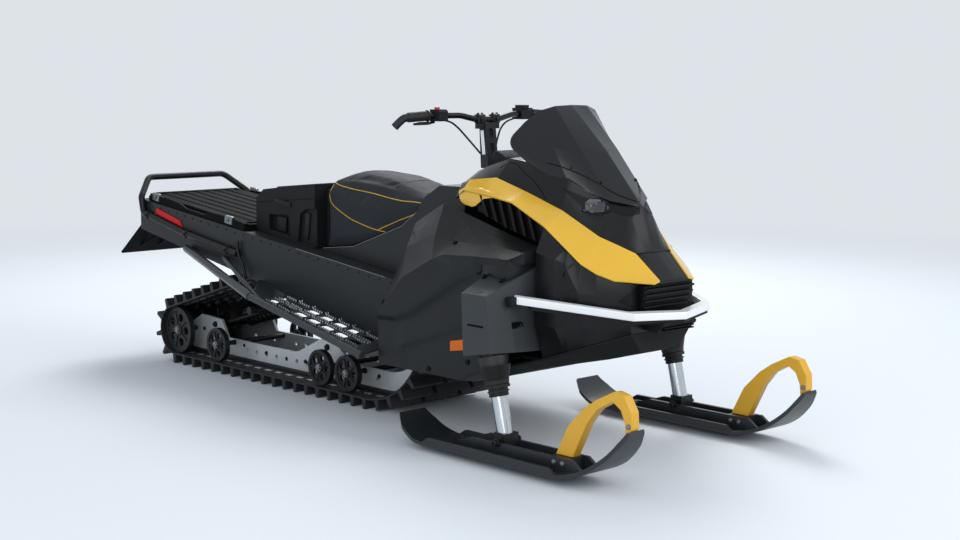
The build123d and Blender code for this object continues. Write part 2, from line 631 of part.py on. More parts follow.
def belly_at(x):
    """The belly pan's section at this X: half width and height of its floor and of its edge."""
    for near, far in zip(BELLY_SECTIONS, BELLY_SECTIONS[1:]):
        if near[0] <= x <= far[0]:
            share = (x - near[0]) / (far[0] - near[0])
            return [a + (b - a) * share for a, b in zip(near[1:], far[1:])]


with BuildPart() as belly:
    outlines = []
    for x, floor_y, floor_z, edge_y, edge_z in BELLY_SECTIONS:
        outer = mirrored([(-edge_y, edge_z + PAN_SKIN), (-edge_y, edge_z), (-floor_y, floor_z)])
        outlines.append((x, [*outer, (floor_y, floor_z + PAN_SKIN), (-floor_y, floor_z + PAN_SKIN)]))
    section_loft(outlines, cross_plane)
    # a wall closes the pan's front end
    outlines = []
    for x in (PAN_END_X - PAN_SKIN, PAN_END_X):
        floor_y, floor_z, edge_y, edge_z = belly_at(x)
        outlines.append((x, mirrored([(-edge_y, edge_z + PAN_SKIN), (-floor_y, floor_z)])))
    section_loft(outlines, cross_plane)
save(belly, "belly_pan")

FRAME_HALF_WIDTH = 200.0
CHEEK_THICKNESS = 8.0
CHEEK_REAR_X = SPROCKET_X + 145
CHEEK_FRONT_X = 890.0
FLOOR_FRONT_X = 1010.0
FRAME_FLOOR_Z = 310.0
TOWER_Z = 540.0
TOWER_X = leg_point(TOWER_Z)[0]
with BuildPart() as frame:
    # cheek plates that reach into the tunnel's mouth, the engine bay's floor, and the tower beam
    # that holds both steering sleeves
    for sign in SIDES.values():
        side_prism([(CHEEK_REAR_X, 294), (CHEEK_FRONT_X, 294), (CHEEK_FRONT_X, 400), (TUNNEL_FRONT_X, 430),
                    (CHEEK_REAR_X, 430)], sign * AXLE_END_Y, sign * (AXLE_END_Y - CHEEK_THICKNESS))
    for front_x, half_width in ((FLOOR_FRONT_X, FRAME_HALF_WIDTH), (CHEEK_FRONT_X, TUNNEL_INNER_Y - 1)):
        side_prism([(TUNNEL_FRONT_X + RUN_GAP, FRAME_FLOOR_Z - 10), (front_x, FRAME_FLOOR_Z - 10),
                    (front_x, FRAME_FLOOR_Z), (TUNNEL_FRONT_X + RUN_GAP, FRAME_FLOOR_Z)],
                   -half_width, half_width)
    side_prism([(FLOOR_FRONT_X - 26, FRAME_FLOOR_Z - 2), (FLOOR_FRONT_X, FRAME_FLOOR_Z - 2),
                (TOWER_X + 30, TOWER_Z + 20), (TOWER_X - 30, TOWER_Z + 20), (TOWER_X - 30, TOWER_Z - 20)],
               -FRAME_HALF_WIDTH, FRAME_HALF_WIDTH)
    stand_off = SKI_STANCE / 2 - SLEEVE_RADIUS - RUN_GAP
    side_prism([(TOWER_X - 30, TOWER_Z - 16), (TOWER_X + 30, TOWER_Z - 16), (TOWER_X + 30, TOWER_Z + 16),
                (TOWER_X - 30, TOWER_Z + 16)], -stand_off, stand_off)
save(frame, "front_frame")

with BuildPart() as engine:
    side_prism([(600, FRAME_FLOOR_Z), (880, FRAME_FLOOR_Z), (880, 640), (600, 640)],
               10 - FRAME_HALF_WIDTH, FRAME_HALF_WIDTH - 10)
save(engine, "engine_block")


# ---------------------------------------------------------------- hood
# Sections of the hood: x, then (half width, height) of the yellow panel's lower edge, of its
# upper edge, of the cowl's shoulder, and the height of the crest in the middle.
HOOD_SECTIONS = [
    (HOOD_REAR_X, (236, 838), (207, 884), (122, 930), 942),
    (640, (250, 868), (216, 902), (130, 950), 962),
    (770, (262, 858), (212, 916), (150, 984), 992),
    (900, (268, 840), (196, 872), (158, 972), 985),
    (1050, (266, 770), (174, 816), (150, 926), 950),
    (1196, (240, 655), (150, 739), (86, 843), 866),
    (1250, (222, 626), (116, 712), (56, 802), 838),
    (1300, (190, 606), (84, 686), (44, 694), 698),
    (1392, (100, 597), (72, 604), (40, 608), 610),
]


def hood_half(section):
    """Right-hand outline of a hood section, lower edge first."""
    x, low, high, shoulder, crest = section
    return [(-low[0], low[1]), (-high[0], high[1]), (-shoulder[0], shoulder[1]), (-8, crest)]


LAMP_SIDE = [(1112, 822), (1150, 814), (1188, 822), (1186, 846), (1150, 852), (1114, 850)]
LAMP_INNER_Y = 96.0
LAMP_GAP = 1.5


def lamp_outline(grow):
    """Side outline of a headlight, grown by this much about its middle."""
    mid_x = sum(x for x, z in LAMP_SIDE) / len(LAMP_SIDE)
    mid_z = sum(z for x, z in LAMP_SIDE) / len(LAMP_SIDE)
    return [(x + math.copysign(grow, x - mid_x), z + math.copysign(grow, z - mid_z)) for x, z in LAMP_SIDE]


def hood_body():
    """The hood's full outer body, before its lamp pockets."""
    section_loft([(section[0], mirrored(hood_half(section))) for section in HOOD_SECTIONS], cross_plane)


with BuildPart() as hood:
    hood_body()
    for sign in SIDES.values():
        side_prism(lamp_outline(LAMP_GAP), sign * (LAMP_INNER_Y - RUN_GAP), sign * TUNNEL_HALF_WIDTH,
                   Mode.SUBTRACT)
save(hood, "hood")

PANEL_SECTIONS = HOOD_SECTIONS[1:]
with BuildPart() as hood_sides:
    for sign in SIDES.values():
        outlines = []
        for x, low, high, shoulder, crest in PANEL_SECTIONS:
            across = Vector(low[0] - high[0], low[1] - high[1])
            normal = Vector(-across.Y, across.X).normalized()
            gap, skin = normal * RUN_GAP, normal * PANEL_SKIN
            corners = [Vector(*corner) + offset for corner, offset in
                       ((low, gap), (high, gap), (high, skin), (low, skin))]
            outlines.append((x, [(sign * corner.X, corner.Y) for corner in corners]))
        section_loft(outlines, cross_plane)
save(hood_sides, "hood_side_panels")

# Nose shell under the hood's front: x, then (half width, height) of its top, of its widest
# line and of its lower line; its foot stands on the belly pan's edges
NOSE_SECTIONS = [
    (1050, (266, 769), (304, 690), (304, 440)),
    (1132, (251, 704), (300, 672), (300, 446)),
    (1144, (249, 695), (268, 656), (266, 448)),
    (1196, (240, 654), (252, 560), (246, 450)),
    (1250, (222, 625), (224, 560), (214, 446)),
    (1300, (190, 605), (192, 556), (180, 442)),
    (PAN_END_X, (158, 600), (160, 552), (152, 442)),
]
NOSE_INSET = 2.0           # the foot stands this much inside the pan's edges
with BuildPart() as nose:
    outlines = []
    for x, top, middle, lower in NOSE_SECTIONS:
        edge_y, edge_z = belly_at(x)[2:]
        foot = (NOSE_INSET - edge_y, edge_z + PAN_SKIN + RUN_GAP)
        outlines.append((x, mirrored([foot, *[(-y, z) for y, z in (lower, middle, top)]])))
    section_loft(outlines, cross_plane)
save(nose, "nose_shell")

GRILLE_HALF_WIDTH = 120.0
GRILLE_FACE = (PAN_END_X + RUN_GAP, 1354, 1372)     # x of the back, of the face's foot and of its head
GRILLE_Z = (512, 592)
SLAT_COUNT = 4
SLAT_HEIGHT = 7.0
SLAT_DEPTH = 11.0
with BuildPart() as grille:
    back_x, foot_x, head_x = GRILLE_FACE
    low_z, high_z = GRILLE_Z
    side_prism([(back_x, low_z), (foot_x, low_z), (head_x, high_z), (back_x, high_z)],
               -GRILLE_HALF_WIDTH, GRILLE_HALF_WIDTH)
    for number in range(SLAT_COUNT):
        share = (number + 0.5) / SLAT_COUNT
        x = foot_x + (head_x - foot_x) * share
        z = low_z + (high_z - low_z) * share
        side_prism([(x - 4, z - SLAT_HEIGHT / 2), (x + SLAT_DEPTH, z - SLAT_HEIGHT / 2 - 3),
                    (x + SLAT_DEPTH, z + SLAT_HEIGHT / 2 - 3), (x - 4, z + SLAT_HEIGHT / 2)],
                   -GRILLE_HALF_WIDTH, GRILLE_HALF_WIDTH)
save(grille, "nose_grille")


# ---------------------------------------------------------------- side panels and strut covers
# Three XZ outlines of a side panel, from its seat on the tunnel outward, corner for corner
PANEL_SEAT_Y = TUNNEL_HALF_WIDTH + RUN_GAP
PANEL_LAYERS = [
    (PANEL_SEAT_Y, [(330, 224), (800, 224), (900, 262), (905, 640), (1040, 650), (1040, 700), (860, 744),
                    (660, 796), (560, 820), (410, 742), (312, 456)]),
    (344.0, [(336, 224), (800, 224), (900, 270), (905, 640), (1040, 650), (1040, 690), (880, 700),
             (700, 700), (600, 720), (440, 660), (318, 456)]),
    (398.0, [(349, 232), (780, 232), (880, 280), (885, 640), (1000, 652), (1010, 668), (860, 668),
             (700, 660), (640, 640), (480, 560), (340, 400)]),
]
for side, sign in SIDES.items():
    with BuildPart() as panel:
        section_loft([(sign * y, points) for y, points in PANEL_LAYERS], side_plane)
    save(panel, f"side_panel_{side}")

# Strut covers: three XZ outlines each, from the body outward
COVER_LAYERS = [
    (PANEL_SEAT_Y, [(908, 336), (1044, 356), (1044, 646), (908, 637)]),
    (400.0, [(906, 336), (1046, 364), (1018, 592), (902, 606)]),
    (492.0, [(900, 344), (1033, 368), (1009, 556), (890, 555)]),
]
low, high = leg_point(SLEEVE_BOTTOM_Z), leg_point(SLEEVE_TOP_Z)
with BuildPart() as covers:
    for sign in SIDES.values():
        y = sign * SKI_STANCE / 2
        section_loft([(sign * at, points) for at, points in COVER_LAYERS], side_plane)
        rod((low[0], y, low[1]), (high[0], y, high[1]), SLEEVE_RADIUS + RUN_GAP, Mode.SUBTRACT)
        side_prism([(TOWER_X - 40, TOWER_Z - 30), (TOWER_X + 40, TOWER_Z - 30), (TOWER_X + 40, TOWER_Z + 20),
                    (TOWER_X - 40, TOWER_Z + 20)], sign * (PANEL_SEAT_Y - 1), y, Mode.SUBTRACT)
save(covers, "strut_covers")

with BuildPart() as sleeves:
    for sign in SIDES.values():
        y = sign * SKI_STANCE / 2
        rod((low[0], y, low[1]), (high[0], y, high[1]), SLEEVE_RADIUS)
        # flared boot under the cover
        rings = []
        for z, radius in BOOT_RINGS:
            x = leg_point(z)[0]
            axis = Vector(high[0] - low[0], 0, high[1] - low[1])
            with BuildSketch(Plane(origin=(x, y, z), z_dir=axis)) as ring:
                Circle(radius)
            rings.append(ring.sketch)
        loft(sections=rings, ruled=True)
        rod((low[0], y, low[1]), (high[0], y, high[1]), LEG_RADIUS + SHAFT_GAP, Mode.SUBTRACT)
save(sleeves, "strut_sleeves")


# ---------------------------------------------------------------- bumper
# Plan of the bumper's front face, right-hand end first; it lies on a plane that falls forward
BUMPER_FRONT = [(1050, -396), (1390, -196), (1448, 0), (1390, 196), (1050, 396)]
BUMPER_FALL = 0.112
BUMPER_CENTRE_Z = 479.0
INTAKE_HALF_WIDTH = 84.0


def bumper_band(points, depth, height, offset):
    """Band behind the bumper's front line, raised from the bumper's plane by offset."""
    plane = slope_plane(0, BUMPER_CENTRE_Z + BUMPER_FALL * BUMPER_FRONT[2][0], BUMPER_FALL).offset(offset)
    stretch = math.hypot(1, BUMPER_FALL)
    front = [(x * stretch, y) for x, y in points]
    back = [((x - depth) * stretch, y * (1 - depth / 700)) for x, y in reversed(points)]
    with BuildSketch(plane) as outline:
        with BuildLine():
            Polyline(*front, *back, close=True)
        make_face()
    extrude(to_extrude=outline.sketch, amount=height)


with BuildPart() as bumper:
    bumper_band(BUMPER_FRONT, BUMPER_DEPTH, BUMPER_HEIGHT, 0)
    # its ends butt on the strut covers' front faces
    add(covers.part, mode=Mode.SUBTRACT)
save(bumper, "front_bumper")

with BuildPart() as lip:
    inset = [(1092, -366), *[(x - 8, y * 0.985) for x, y in BUMPER_FRONT[1:4]], (1092, 366)]
    bumper_band(inset, BUMPER_DEPTH, LIP_HEIGHT, -LIP_HEIGHT - RUN_GAP)
    # under the middle, a lower intake that hangs from the lip
    back_x = PAN_END_X + RUN_GAP
    side_prism([(back_x, 440), (1392, 436), (1420, 462), (1420, 470), (back_x, 486)],
               -INTAKE_HALF_WIDTH, INTAKE_HALF_WIDTH)
save(lip, "bumper_lip")


# ---------------------------------------------------------------- windshield and headlights
# Three outlines of the windshield, each on a plane that falls forward from its nose:
# nose x, nose z, fall, then (x, half width) of nose side, crease and rear wing.
SHIELD_SECTIONS = [
    (1250, 836, 0.36, [(1190, 94), (1052, 150), (880, 168)]),
    (1085, 1017, 0.08, [(1052, 92), (984, 150), (796, 200)]),
    (921, 1170, -0.90, [(918, 80), (900, 142), (858, 166)]),
]
SHIELD_SKIN = 7.0
with BuildPart() as shield:
    faces = []
    for nose_x, nose_z, fall, corners in SHIELD_SECTIONS:
        stretch = math.hypot(1, fall)
        outer = [((x - nose_x) * stretch, -y) for x, y in reversed(corners)] + [(0, 0)]
        outer += [((x - nose_x) * stretch, y) for x, y in corners]
        inner = [((x - nose_x) * stretch - SHIELD_SKIN * (0.8 if y < 0.9 * corners[-1][1] else 0),
                  side * (y - SHIELD_SKIN)) for side in (1, -1)
                 for x, y in (reversed(corners) if side == 1 else corners)]
        inner.insert(3, (-SHIELD_SKIN * 1.4, 0))
        with BuildSketch(slope_plane(nose_x, nose_z, fall)) as outline:
            with BuildLine():
                Polyline(*outer, *inner, close=True)
            make_face()
        faces.append(outline.sketch)
    loft(sections=faces, ruled=True)
    add(hood.part, mode=Mode.SUBTRACT)
save(shield, "windshield")

with BuildPart() as lamps:
    hood_body()
    with BuildPart(mode=Mode.PRIVATE) as lamp_cores:
        for sign in SIDES.values():
            side_prism(lamp_outline(0), sign * LAMP_INNER_Y, sign * TUNNEL_HALF_WIDTH)
    add(lamp_cores.part, mode=Mode.INTERSECT)
save(lamps, "headlights")


# ---------------------------------------------------------------- steering
RISER_LOW_Z = 932.0
RISER_HALF_WIDTH = 26.0
RISER_HOLES = (1006.0, 1060.0)
BAR_Z = 1110.0
with BuildPart() as post:
    low, high = column_point(COLUMN_LOW_Z), column_point(RISER_LOW_Z + 10)
    rod((low[0], 0, low[1]), (high[0], 0, high[1]), COLUMN_RADIUS)
    base_x, top_x = column_point(RISER_LOW_Z)[0], column_point(BAR_Z)[0]
    head_z = BAR_Z - BAR_RADIUS - RUN_GAP
    side_prism([(base_x - 20, RISER_LOW_Z), (base_x + 20, RISER_LOW_Z), (top_x + 16, head_z),
                (top_x - 16, head_z)], -RISER_HALF_WIDTH, RISER_HALF_WIDTH)
    # two long holes through the riser, front to rear
    for z in RISER_HOLES:
        with BuildSketch(cross_plane(base_x - 60)) as hole:
            with Locations((0, z)):
                SlotOverall(36, 22, rotation=90)
        extrude(to_extrude=hole.sketch, amount=120, mode=Mode.SUBTRACT)
    for sign in SIDES.values():
        cross_rod(top_x, BAR_Z, sign * 30, sign * 48, BAR_RADIUS + 9)
        cross_rod(top_x, BAR_Z, sign * 28, sign * 50, BAR_RADIUS + RUN_GAP, Mode.SUBTRACT)
        side_prism([(top_x - 14, BAR_Z - 34), (top_x + 14, BAR_Z - 34), (top_x + 14, BAR_Z - BAR_RADIUS - 3),
                    (top_x - 14, BAR_Z - BAR_RADIUS - 3)], sign * 20, sign * 48)
save(post, "steering_post")

TOP_X = column_point(BAR_Z)[0]
# Left half of the bar: clamp, rise, start of grip, end of grip, hooked end
BAR_RISE = (TOP_X - 6, 130, BAR_Z + 16)
GRIP_START = (462, 250, BAR_Z + 16)
GRIP_END = (447, 352, BAR_Z + 10)
BAR_HALF = [(TOP_X, 55, BAR_Z), BAR_RISE, GRIP_START, GRIP_END, (430, 386, BAR_Z - 22)]
with BuildPart() as bar:
    right_half = [(x, -y, z) for x, y, z in reversed(BAR_HALF)]
    bent_tube(right_half + BAR_HALF, [14, 70, 90, 90, 90, 90, 70, 14], BAR_RADIUS)
save(bar, "handlebar")

with BuildPart() as grips:
    for sign in SIDES.values():
        start = Vector(GRIP_START[0], sign * GRIP_START[1], GRIP_START[2])
        end = Vector(GRIP_END[0], sign * GRIP_END[1], GRIP_END[2])
        along = end - start
        rod(tuple(start + along * 0.08), tuple(end - along * 0.08), GRIP_RADIUS)
        rod(tuple(start), tuple(end), BAR_RADIUS + RUN_GAP, Mode.SUBTRACT)
save(grips, "grips")

# Control blocks clamped round the bar: side, y from, y to
CONTROLS = [("right", 196.0, 238.0), ("left", 176.0, 238.0)]
CONTROL_X = 470.0
BLOCK_FRONT = 30.0
BLOCK_BACK = 22.0
BLOCK_BELOW = 20.0
BLOCK_ABOVE = 22.0
LEVER_RADIUS = 5.0
with BuildPart() as controls:
    for side, y_from, y_to in CONTROLS:
        sign = SIDES[side]
        start = Vector(BAR_RISE[0], sign * BAR_RISE[1], BAR_RISE[2])
        end = Vector(GRIP_START[0], sign * GRIP_START[1], GRIP_START[2])
        x, z = CONTROL_X, BAR_RISE[2]
        side_prism([(x - BLOCK_BACK, z - BLOCK_BELOW), (x + BLOCK_FRONT, z - BLOCK_BELOW),
                    (x + BLOCK_FRONT, z + BLOCK_ABOVE - 8), (x + BLOCK_FRONT - 8, z + BLOCK_ABOVE),
                    (x - BLOCK_BACK, z + BLOCK_ABOVE)], sign * y_from, sign * y_to)
        rod(tuple(start), tuple(end), BAR_RADIUS + RUN_GAP, Mode.SUBTRACT)
        if side == "right":
            # thumb throttle: a lever under the grip, on the rider's side
            side_prism([(x - 18, z - 14), (x - 6, z - 14), (x - 8, z - 26), (x - 20, z - 27)],
                       sign * (y_to - 12), sign * y_to)
            side_prism([(x - 12, z - 21.5), (x - 8, z - 27), (x - 46, z - 35), (x - 50, z - 28)],
                       sign * (y_to - 12), sign * (y_to + 56))
            with BuildSketch(Plane.XY.offset(z + BLOCK_ABOVE - 1)) as button:
                with Locations((x - 6, sign * (y_from + y_to) / 2)):
                    Circle(9)
            extrude(to_extrude=button.sketch, amount=9)
        else:
            # brake lever in front of the grip, and its fluid reservoir
            rod((x + 24, sign * (y_to - 14), z), (x + 40, sign * (y_to + 20), z - 2), LEVER_RADIUS)
            rod((x + 40, sign * (y_to + 20), z - 2), (x + 14, sign * (y_to + 132), z - 8), LEVER_RADIUS)
            with BuildSketch(Plane.XY.offset(z + BLOCK_ABOVE - 1)) as cap:
                with Locations((x + 6, sign * (y_from + 24))):
                    RectangleRounded(44, 36, 6)
            extrude(to_extrude=cap.sketch, amount=12)
save(controls, "hand_controls")


CABLE_RADIUS = 3.5
# Throttle cable and brake hose, from their control blocks to the riser
CABLES = {
    "throttle_cable": [(462, -200, 1111), (459, -154, 1106), (452, -108, 1084), (457, -70, 1048),
                       (470, -42, 1014), (486, -22, 984)],
    "brake_hose": [(466, 180, 1111), (466, 134, 1104), (470, 96, 1078), (480, 70, 1042), (494, 46, 1006),
                   (506, 22, 974)],
}
for name, route in CABLES.items():
    radii = []
    for before, corner, after in zip(route, route[1:], route[2:]):
        into, out = Vector(*corner) - Vector(*before), Vector(*after) - Vector(*corner)
        half_turn = math.radians(into.get_angle(out)) / 2
        radii.append(0.45 * min(into.length, out.length) / math.tan(half_turn))
    with BuildPart() as cable:
        bent_tube(route, radii, CABLE_RADIUS)
        # the ends stop at the faces of the block and the riser
        add(controls.part, mode=Mode.SUBTRACT)
        add(post.part, mode=Mode.SUBTRACT)
    save(cable, name)
    print(name, "bend radii", [round(radius) for radius in radii])


# ---------------------------------------------------------------- steering legs and skis
FOOT_LENGTH = 52.0
FOOT_TOP_Z = SKI_PIVOT_Z + 30
PLATE_Z = KEEL_DEPTH
RIB_TOP_Z = PLATE_Z + SKI_THICKNESS + SKI_RIB_HEIGHT
BOLT_REACH = SKI_SADDLE / 2 + SKI_RIB_THICKNESS + 6
for side, sign in SIDES.items():
    y = sign * SKI_STANCE / 2
    low, high = leg_point(SKI_PIVOT_Z + 8), leg_point(LEG_TOP_Z)
    with BuildPart() as leg:
        rod((low[0], y, low[1]), (high[0], y, high[1]), LEG_RADIUS)
        rear_x, front_x = SKI_PIVOT_X - FOOT_LENGTH / 2, SKI_PIVOT_X + FOOT_LENGTH / 2
        side_prism([(rear_x, SKI_PIVOT_Z - 22), (front_x, SKI_PIVOT_Z - 22), (front_x, FOOT_TOP_Z),
                    (rear_x, FOOT_TOP_Z)], y - SKI_SADDLE / 2 + 1, y + SKI_SADDLE / 2 - 1)
        cross_rod(SKI_PIVOT_X, SKI_PIVOT_Z, y - BOLT_REACH, y + BOLT_REACH, SKI_BOLT_RADIUS)
    save(leg, f"steering_leg_{side}")

SKI_TAIL_X = NOSE_X - SKI_LENGTH
# Plan outline of the right half of a ski, tail to tip: x, half width
SKI_PLAN = [(SKI_TAIL_X, 56), (SKI_TAIL_X + 40, 80), (SKI_TAIL_X + 110, SKI_WIDTH / 2),
            (NOSE_X - 231, SKI_WIDTH / 2), (NOSE_X - 111, 80), (NOSE_X - 31, 56), (NOSE_X + 1, 34)]
TAIL_RISE_X = SKI_TAIL_X + 150.0
TIP_RISE_X = NOSE_X - 281.0
for side, sign in SIDES.items():
    y = sign * SKI_STANCE / 2
    with BuildPart() as ski:
        with BuildSketch(side_plane(y + SKI_WIDTH / 2)) as outline:
            with BuildLine():
                ThreePointArc((SKI_TAIL_X, 97), (SKI_TAIL_X + 65, 44), (TAIL_RISE_X, PLATE_Z))
                Line((TAIL_RISE_X, PLATE_Z), (TIP_RISE_X, PLATE_Z))
                ThreePointArc((TIP_RISE_X, PLATE_Z), (1512, 72), (NOSE_X, 196))
                Line((NOSE_X, 196), (NOSE_X - 8, 205))
                ThreePointArc((NOSE_X - 8, 205), (1506, 84), (TIP_RISE_X, PLATE_Z + SKI_THICKNESS))
                Line((TIP_RISE_X, PLATE_Z + SKI_THICKNESS), (TAIL_RISE_X, PLATE_Z + SKI_THICKNESS))
                ThreePointArc((TAIL_RISE_X, PLATE_Z + SKI_THICKNESS), (SKI_TAIL_X + 68, 56),
                              (SKI_TAIL_X + 5, 108))
                Line((SKI_TAIL_X + 5, 108), (SKI_TAIL_X, 97))
            make_face()
        extrude(to_extrude=outline.sketch, amount=SKI_WIDTH)
        with BuildSketch(Plane.XY) as plan:
            with BuildLine():
                Polyline(*[(x, y - half) for x, half in SKI_PLAN],
                         *[(x, y + half) for x, half in reversed(SKI_PLAN)], close=True)
            make_face()
        extrude(to_extrude=plan.sketch, amount=400, mode=Mode.INTERSECT)
        side_prism([(TAIL_RISE_X + 20, PLATE_Z + 1), (TAIL_RISE_X + 50, 0), (TIP_RISE_X - 50, 0),
                    (TIP_RISE_X - 10, PLATE_Z + 1)], y - KEEL_WIDTH / 2, y + KEEL_WIDTH / 2)
        for flank in (-1, 1):
            near = y + flank * SKI_SADDLE / 2
            side_prism([(TAIL_RISE_X + 60, PLATE_Z + 6), (TIP_RISE_X, PLATE_Z + 6), (TIP_RISE_X + 90, 52),
                        (TIP_RISE_X + 50, RIB_TOP_Z), (SKI_PIVOT_X - 115, RIB_TOP_Z)],
                       near, near + flank * SKI_RIB_THICKNESS)
            edge = y + flank * (SKI_WIDTH / 2 - 1)
            side_prism([(TAIL_RISE_X - 10, PLATE_Z + 2), (TIP_RISE_X + 30, PLATE_Z + 4),
                        (TIP_RISE_X - 10, 54), (TAIL_RISE_X + 40, 54)],
                       edge, edge - flank * SKI_RIB_THICKNESS)
        side_prism([(1306, PLATE_Z + 8), (1384, PLATE_Z + 8), (1380, RIB_TOP_Z), (1306, RIB_TOP_Z)],
                   y - SKI_SADDLE / 2 - 1, y + SKI_SADDLE / 2 + 1)
        cross_rod(SKI_PIVOT_X, SKI_PIVOT_Z, y - SKI_WIDTH, y + SKI_WIDTH, SKI_BOLT_RADIUS + SHAFT_GAP,
                  Mode.SUBTRACT)
    save(ski, f"ski_{side}")

    with BuildPart() as handle:
        ring = [(1306, RIB_TOP_Z + RUN_GAP), (1358, 180), (1424, 246), (1474, 280), (1550, 318), (1592, 310),
                (1622, 262), (1625, 212), (1600, 172), (1594, 226), (1576, 264), (1544, 284), (1482, 250),
                (1440, 198), (1380, RIB_TOP_Z + RUN_GAP)]
        side_prism(ring, y - HANDLE_WIDTH / 2, y + HANDLE_WIDTH / 2)
        add(ski.part, mode=Mode.SUBTRACT)
    save(handle, f"ski_handle_{side}")


# ---------------------------------------------------------------- vents, lamps and small fittings
def hood_edge(x):
    """Height just under the hood's lower edge at this X."""
    for near, far in zip(HOOD_SECTIONS, HOOD_SECTIONS[1:]):
        if near[0] <= x <= far[0]:
            share = (x - near[0]) / (far[0] - near[0])
            return near[1][1] + (far[1][1] - near[1][1]) * share - RUN_GAP


VENT_Y = (226.0, 238.0, 256.0)     # back, face and rib tips
# Foot of each rib along the vent's lower edge: x, z
VENT_RIBS = [(760, 787), (806, 772), (852, 756), (898, 744), (944, 733), (990, 722)]
with BuildPart() as vents:
    for sign in SIDES.values():
        side_prism([(700, 801), (860, 748), (1030, 706), (1036, hood_edge(1036)), (900, hood_edge(900)),
                    (770, hood_edge(770)), (700, hood_edge(700))], sign * VENT_Y[0], sign * VENT_Y[1])
        # leaning ribs that stand out of the vent's back plate
        for foot_x, foot_z in VENT_RIBS:
            head_x = foot_x - 34
            head = [(x, hood_edge(x) - 2) for x in (head_x + 15, head_x)]
            side_prism([(foot_x, foot_z), (foot_x + 13, foot_z - 3), *head],
                       sign * (VENT_Y[1] - 1), sign * VENT_Y[2])
save(vents, "vent_louvres")


def rail_line(x):
    """Height of the hoop's lower rail at this X."""
    (rear_x, _, rear_z), (front_x, _, front_z) = HOOP_PATH[2], HOOP_PATH[1]
    return front_z + (rear_z - front_z) * (x - front_x) / (rear_x - front_x)


# Reflectors, as an XZ outline and the Y of the face that they sit on; the tail light is the last
LENS_DEPTH = 5.0
above_rail = HOOP_RADIUS + 2
LENSES = [
    ([(738, 329), (833, 345), (833, 383), (738, 364)], 398 + RUN_GAP),
    ([(-1330, rail_line(-1330) + above_rail), (-1110, rail_line(-1110) + above_rail),
      (-1130, rail_line(-1130) + above_rail + 24), (-1310, rail_line(-1310) + above_rail + 28)],
     TUNNEL_HALF_WIDTH + RUN_GAP),
]
with BuildPart() as reflectors:
    for sign in SIDES.values():
        for points, seat_y in LENSES:
            side_prism(points, sign * seat_y, sign * (seat_y + LENS_DEPTH))
    z = tunnel_top(TUNNEL_REAR_X) + RUN_GAP
    side_prism([(DECK_REAR_X - 10, z), (DECK_REAR_X - RUN_GAP, z), (DECK_REAR_X - RUN_GAP, z + 18),
                (DECK_REAR_X - 10, z + 18)], -60, 60)
save(reflectors, "reflectors")

HITCH_BORE = 19.0
HITCH_X = -1536.0
with BuildPart() as hitch:
    z = tunnel_top(TUNNEL_REAR_X) - 40
    with BuildSketch(Plane.XY.offset(z)) as outline:
        with Locations((HITCH_X / 2 + TUNNEL_REAR_X / 2 + 20, 0)):
            Rectangle(TUNNEL_REAR_X - HITCH_X + 110, 70)
    extrude(to_extrude=outline.sketch, amount=10)
    with BuildSketch(Plane.XY.offset(z)) as bore:
        with Locations((HITCH_X, 0)):
            Circle(HITCH_BORE / 2)
    extrude(to_extrude=bore.sketch, amount=10, mode=Mode.SUBTRACT)
    web_x = TUNNEL_REAR_X + 22
    head = [(x, tunnel_top(x) - TUNNEL_SHEET - RUN_GAP) for x in (web_x + 10, web_x)]
    side_prism([(web_x, z + 1), (web_x + 10, z + 1), *head], -35, 35)
save(hitch, "tow_hitch")
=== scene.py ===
import math

import bpy
from mathutils import Matrix, Vector
from mathutils.bvhtree import BVHTree

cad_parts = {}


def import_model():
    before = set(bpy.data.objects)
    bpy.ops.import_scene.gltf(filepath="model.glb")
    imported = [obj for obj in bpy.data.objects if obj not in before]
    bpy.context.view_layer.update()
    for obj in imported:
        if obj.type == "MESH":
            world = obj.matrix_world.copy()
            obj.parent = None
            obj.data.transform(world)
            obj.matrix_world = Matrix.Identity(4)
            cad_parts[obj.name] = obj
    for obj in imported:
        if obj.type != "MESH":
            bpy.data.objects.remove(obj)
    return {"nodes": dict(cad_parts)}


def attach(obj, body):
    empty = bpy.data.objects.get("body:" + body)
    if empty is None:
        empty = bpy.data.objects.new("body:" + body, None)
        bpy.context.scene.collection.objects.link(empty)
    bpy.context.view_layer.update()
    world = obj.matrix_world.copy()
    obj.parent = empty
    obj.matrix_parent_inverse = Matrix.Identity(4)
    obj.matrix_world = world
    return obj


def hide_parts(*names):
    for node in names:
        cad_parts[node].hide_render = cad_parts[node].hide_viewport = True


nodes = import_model()["nodes"]
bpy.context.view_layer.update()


# ---------- snow, light and camera
# A pale level floor like packed snow under an overcast sky: soft light from all round, one broad
# lamp high behind the machine's left side and weaker ones in front.
FLOOR_COLOUR = "#E6EAEE"
SKY_COLOUR = "#DCE5EF"
BACKDROP_COLOUR = "#DDE3E8"
SKY_LIGHT = 0.7
FLOOR_HALF = 14.0
FADE_START = 3.5           # metres from the middle, where the floor begins to fade
FADE_END = 8.0
CAMERA_PLACE = (4.7504, -4.0698, 1.2931)
CAMERA_AZIMUTH = 46.5
CAMERA_FALL = 7.16
CAMERA_ROLL = 0.24
CAMERA_LENS = 60.105
# name, place, size and power of each lamp, and the point that it faces; metres and watts
LAMPS = [
    ("key_lamp", (-3.2, 3.6, 5.2), 3.0, 260, (0, 0, 0.4)),
    ("fill_lamp", (3.4, -5.2, 2.6), 4.0, 110, (0.3, 0, 0.5)),
    ("nose_lamp", (5.0, 1.5, 3.2), 3.0, 90, (0.8, 0, 0.6)),
]


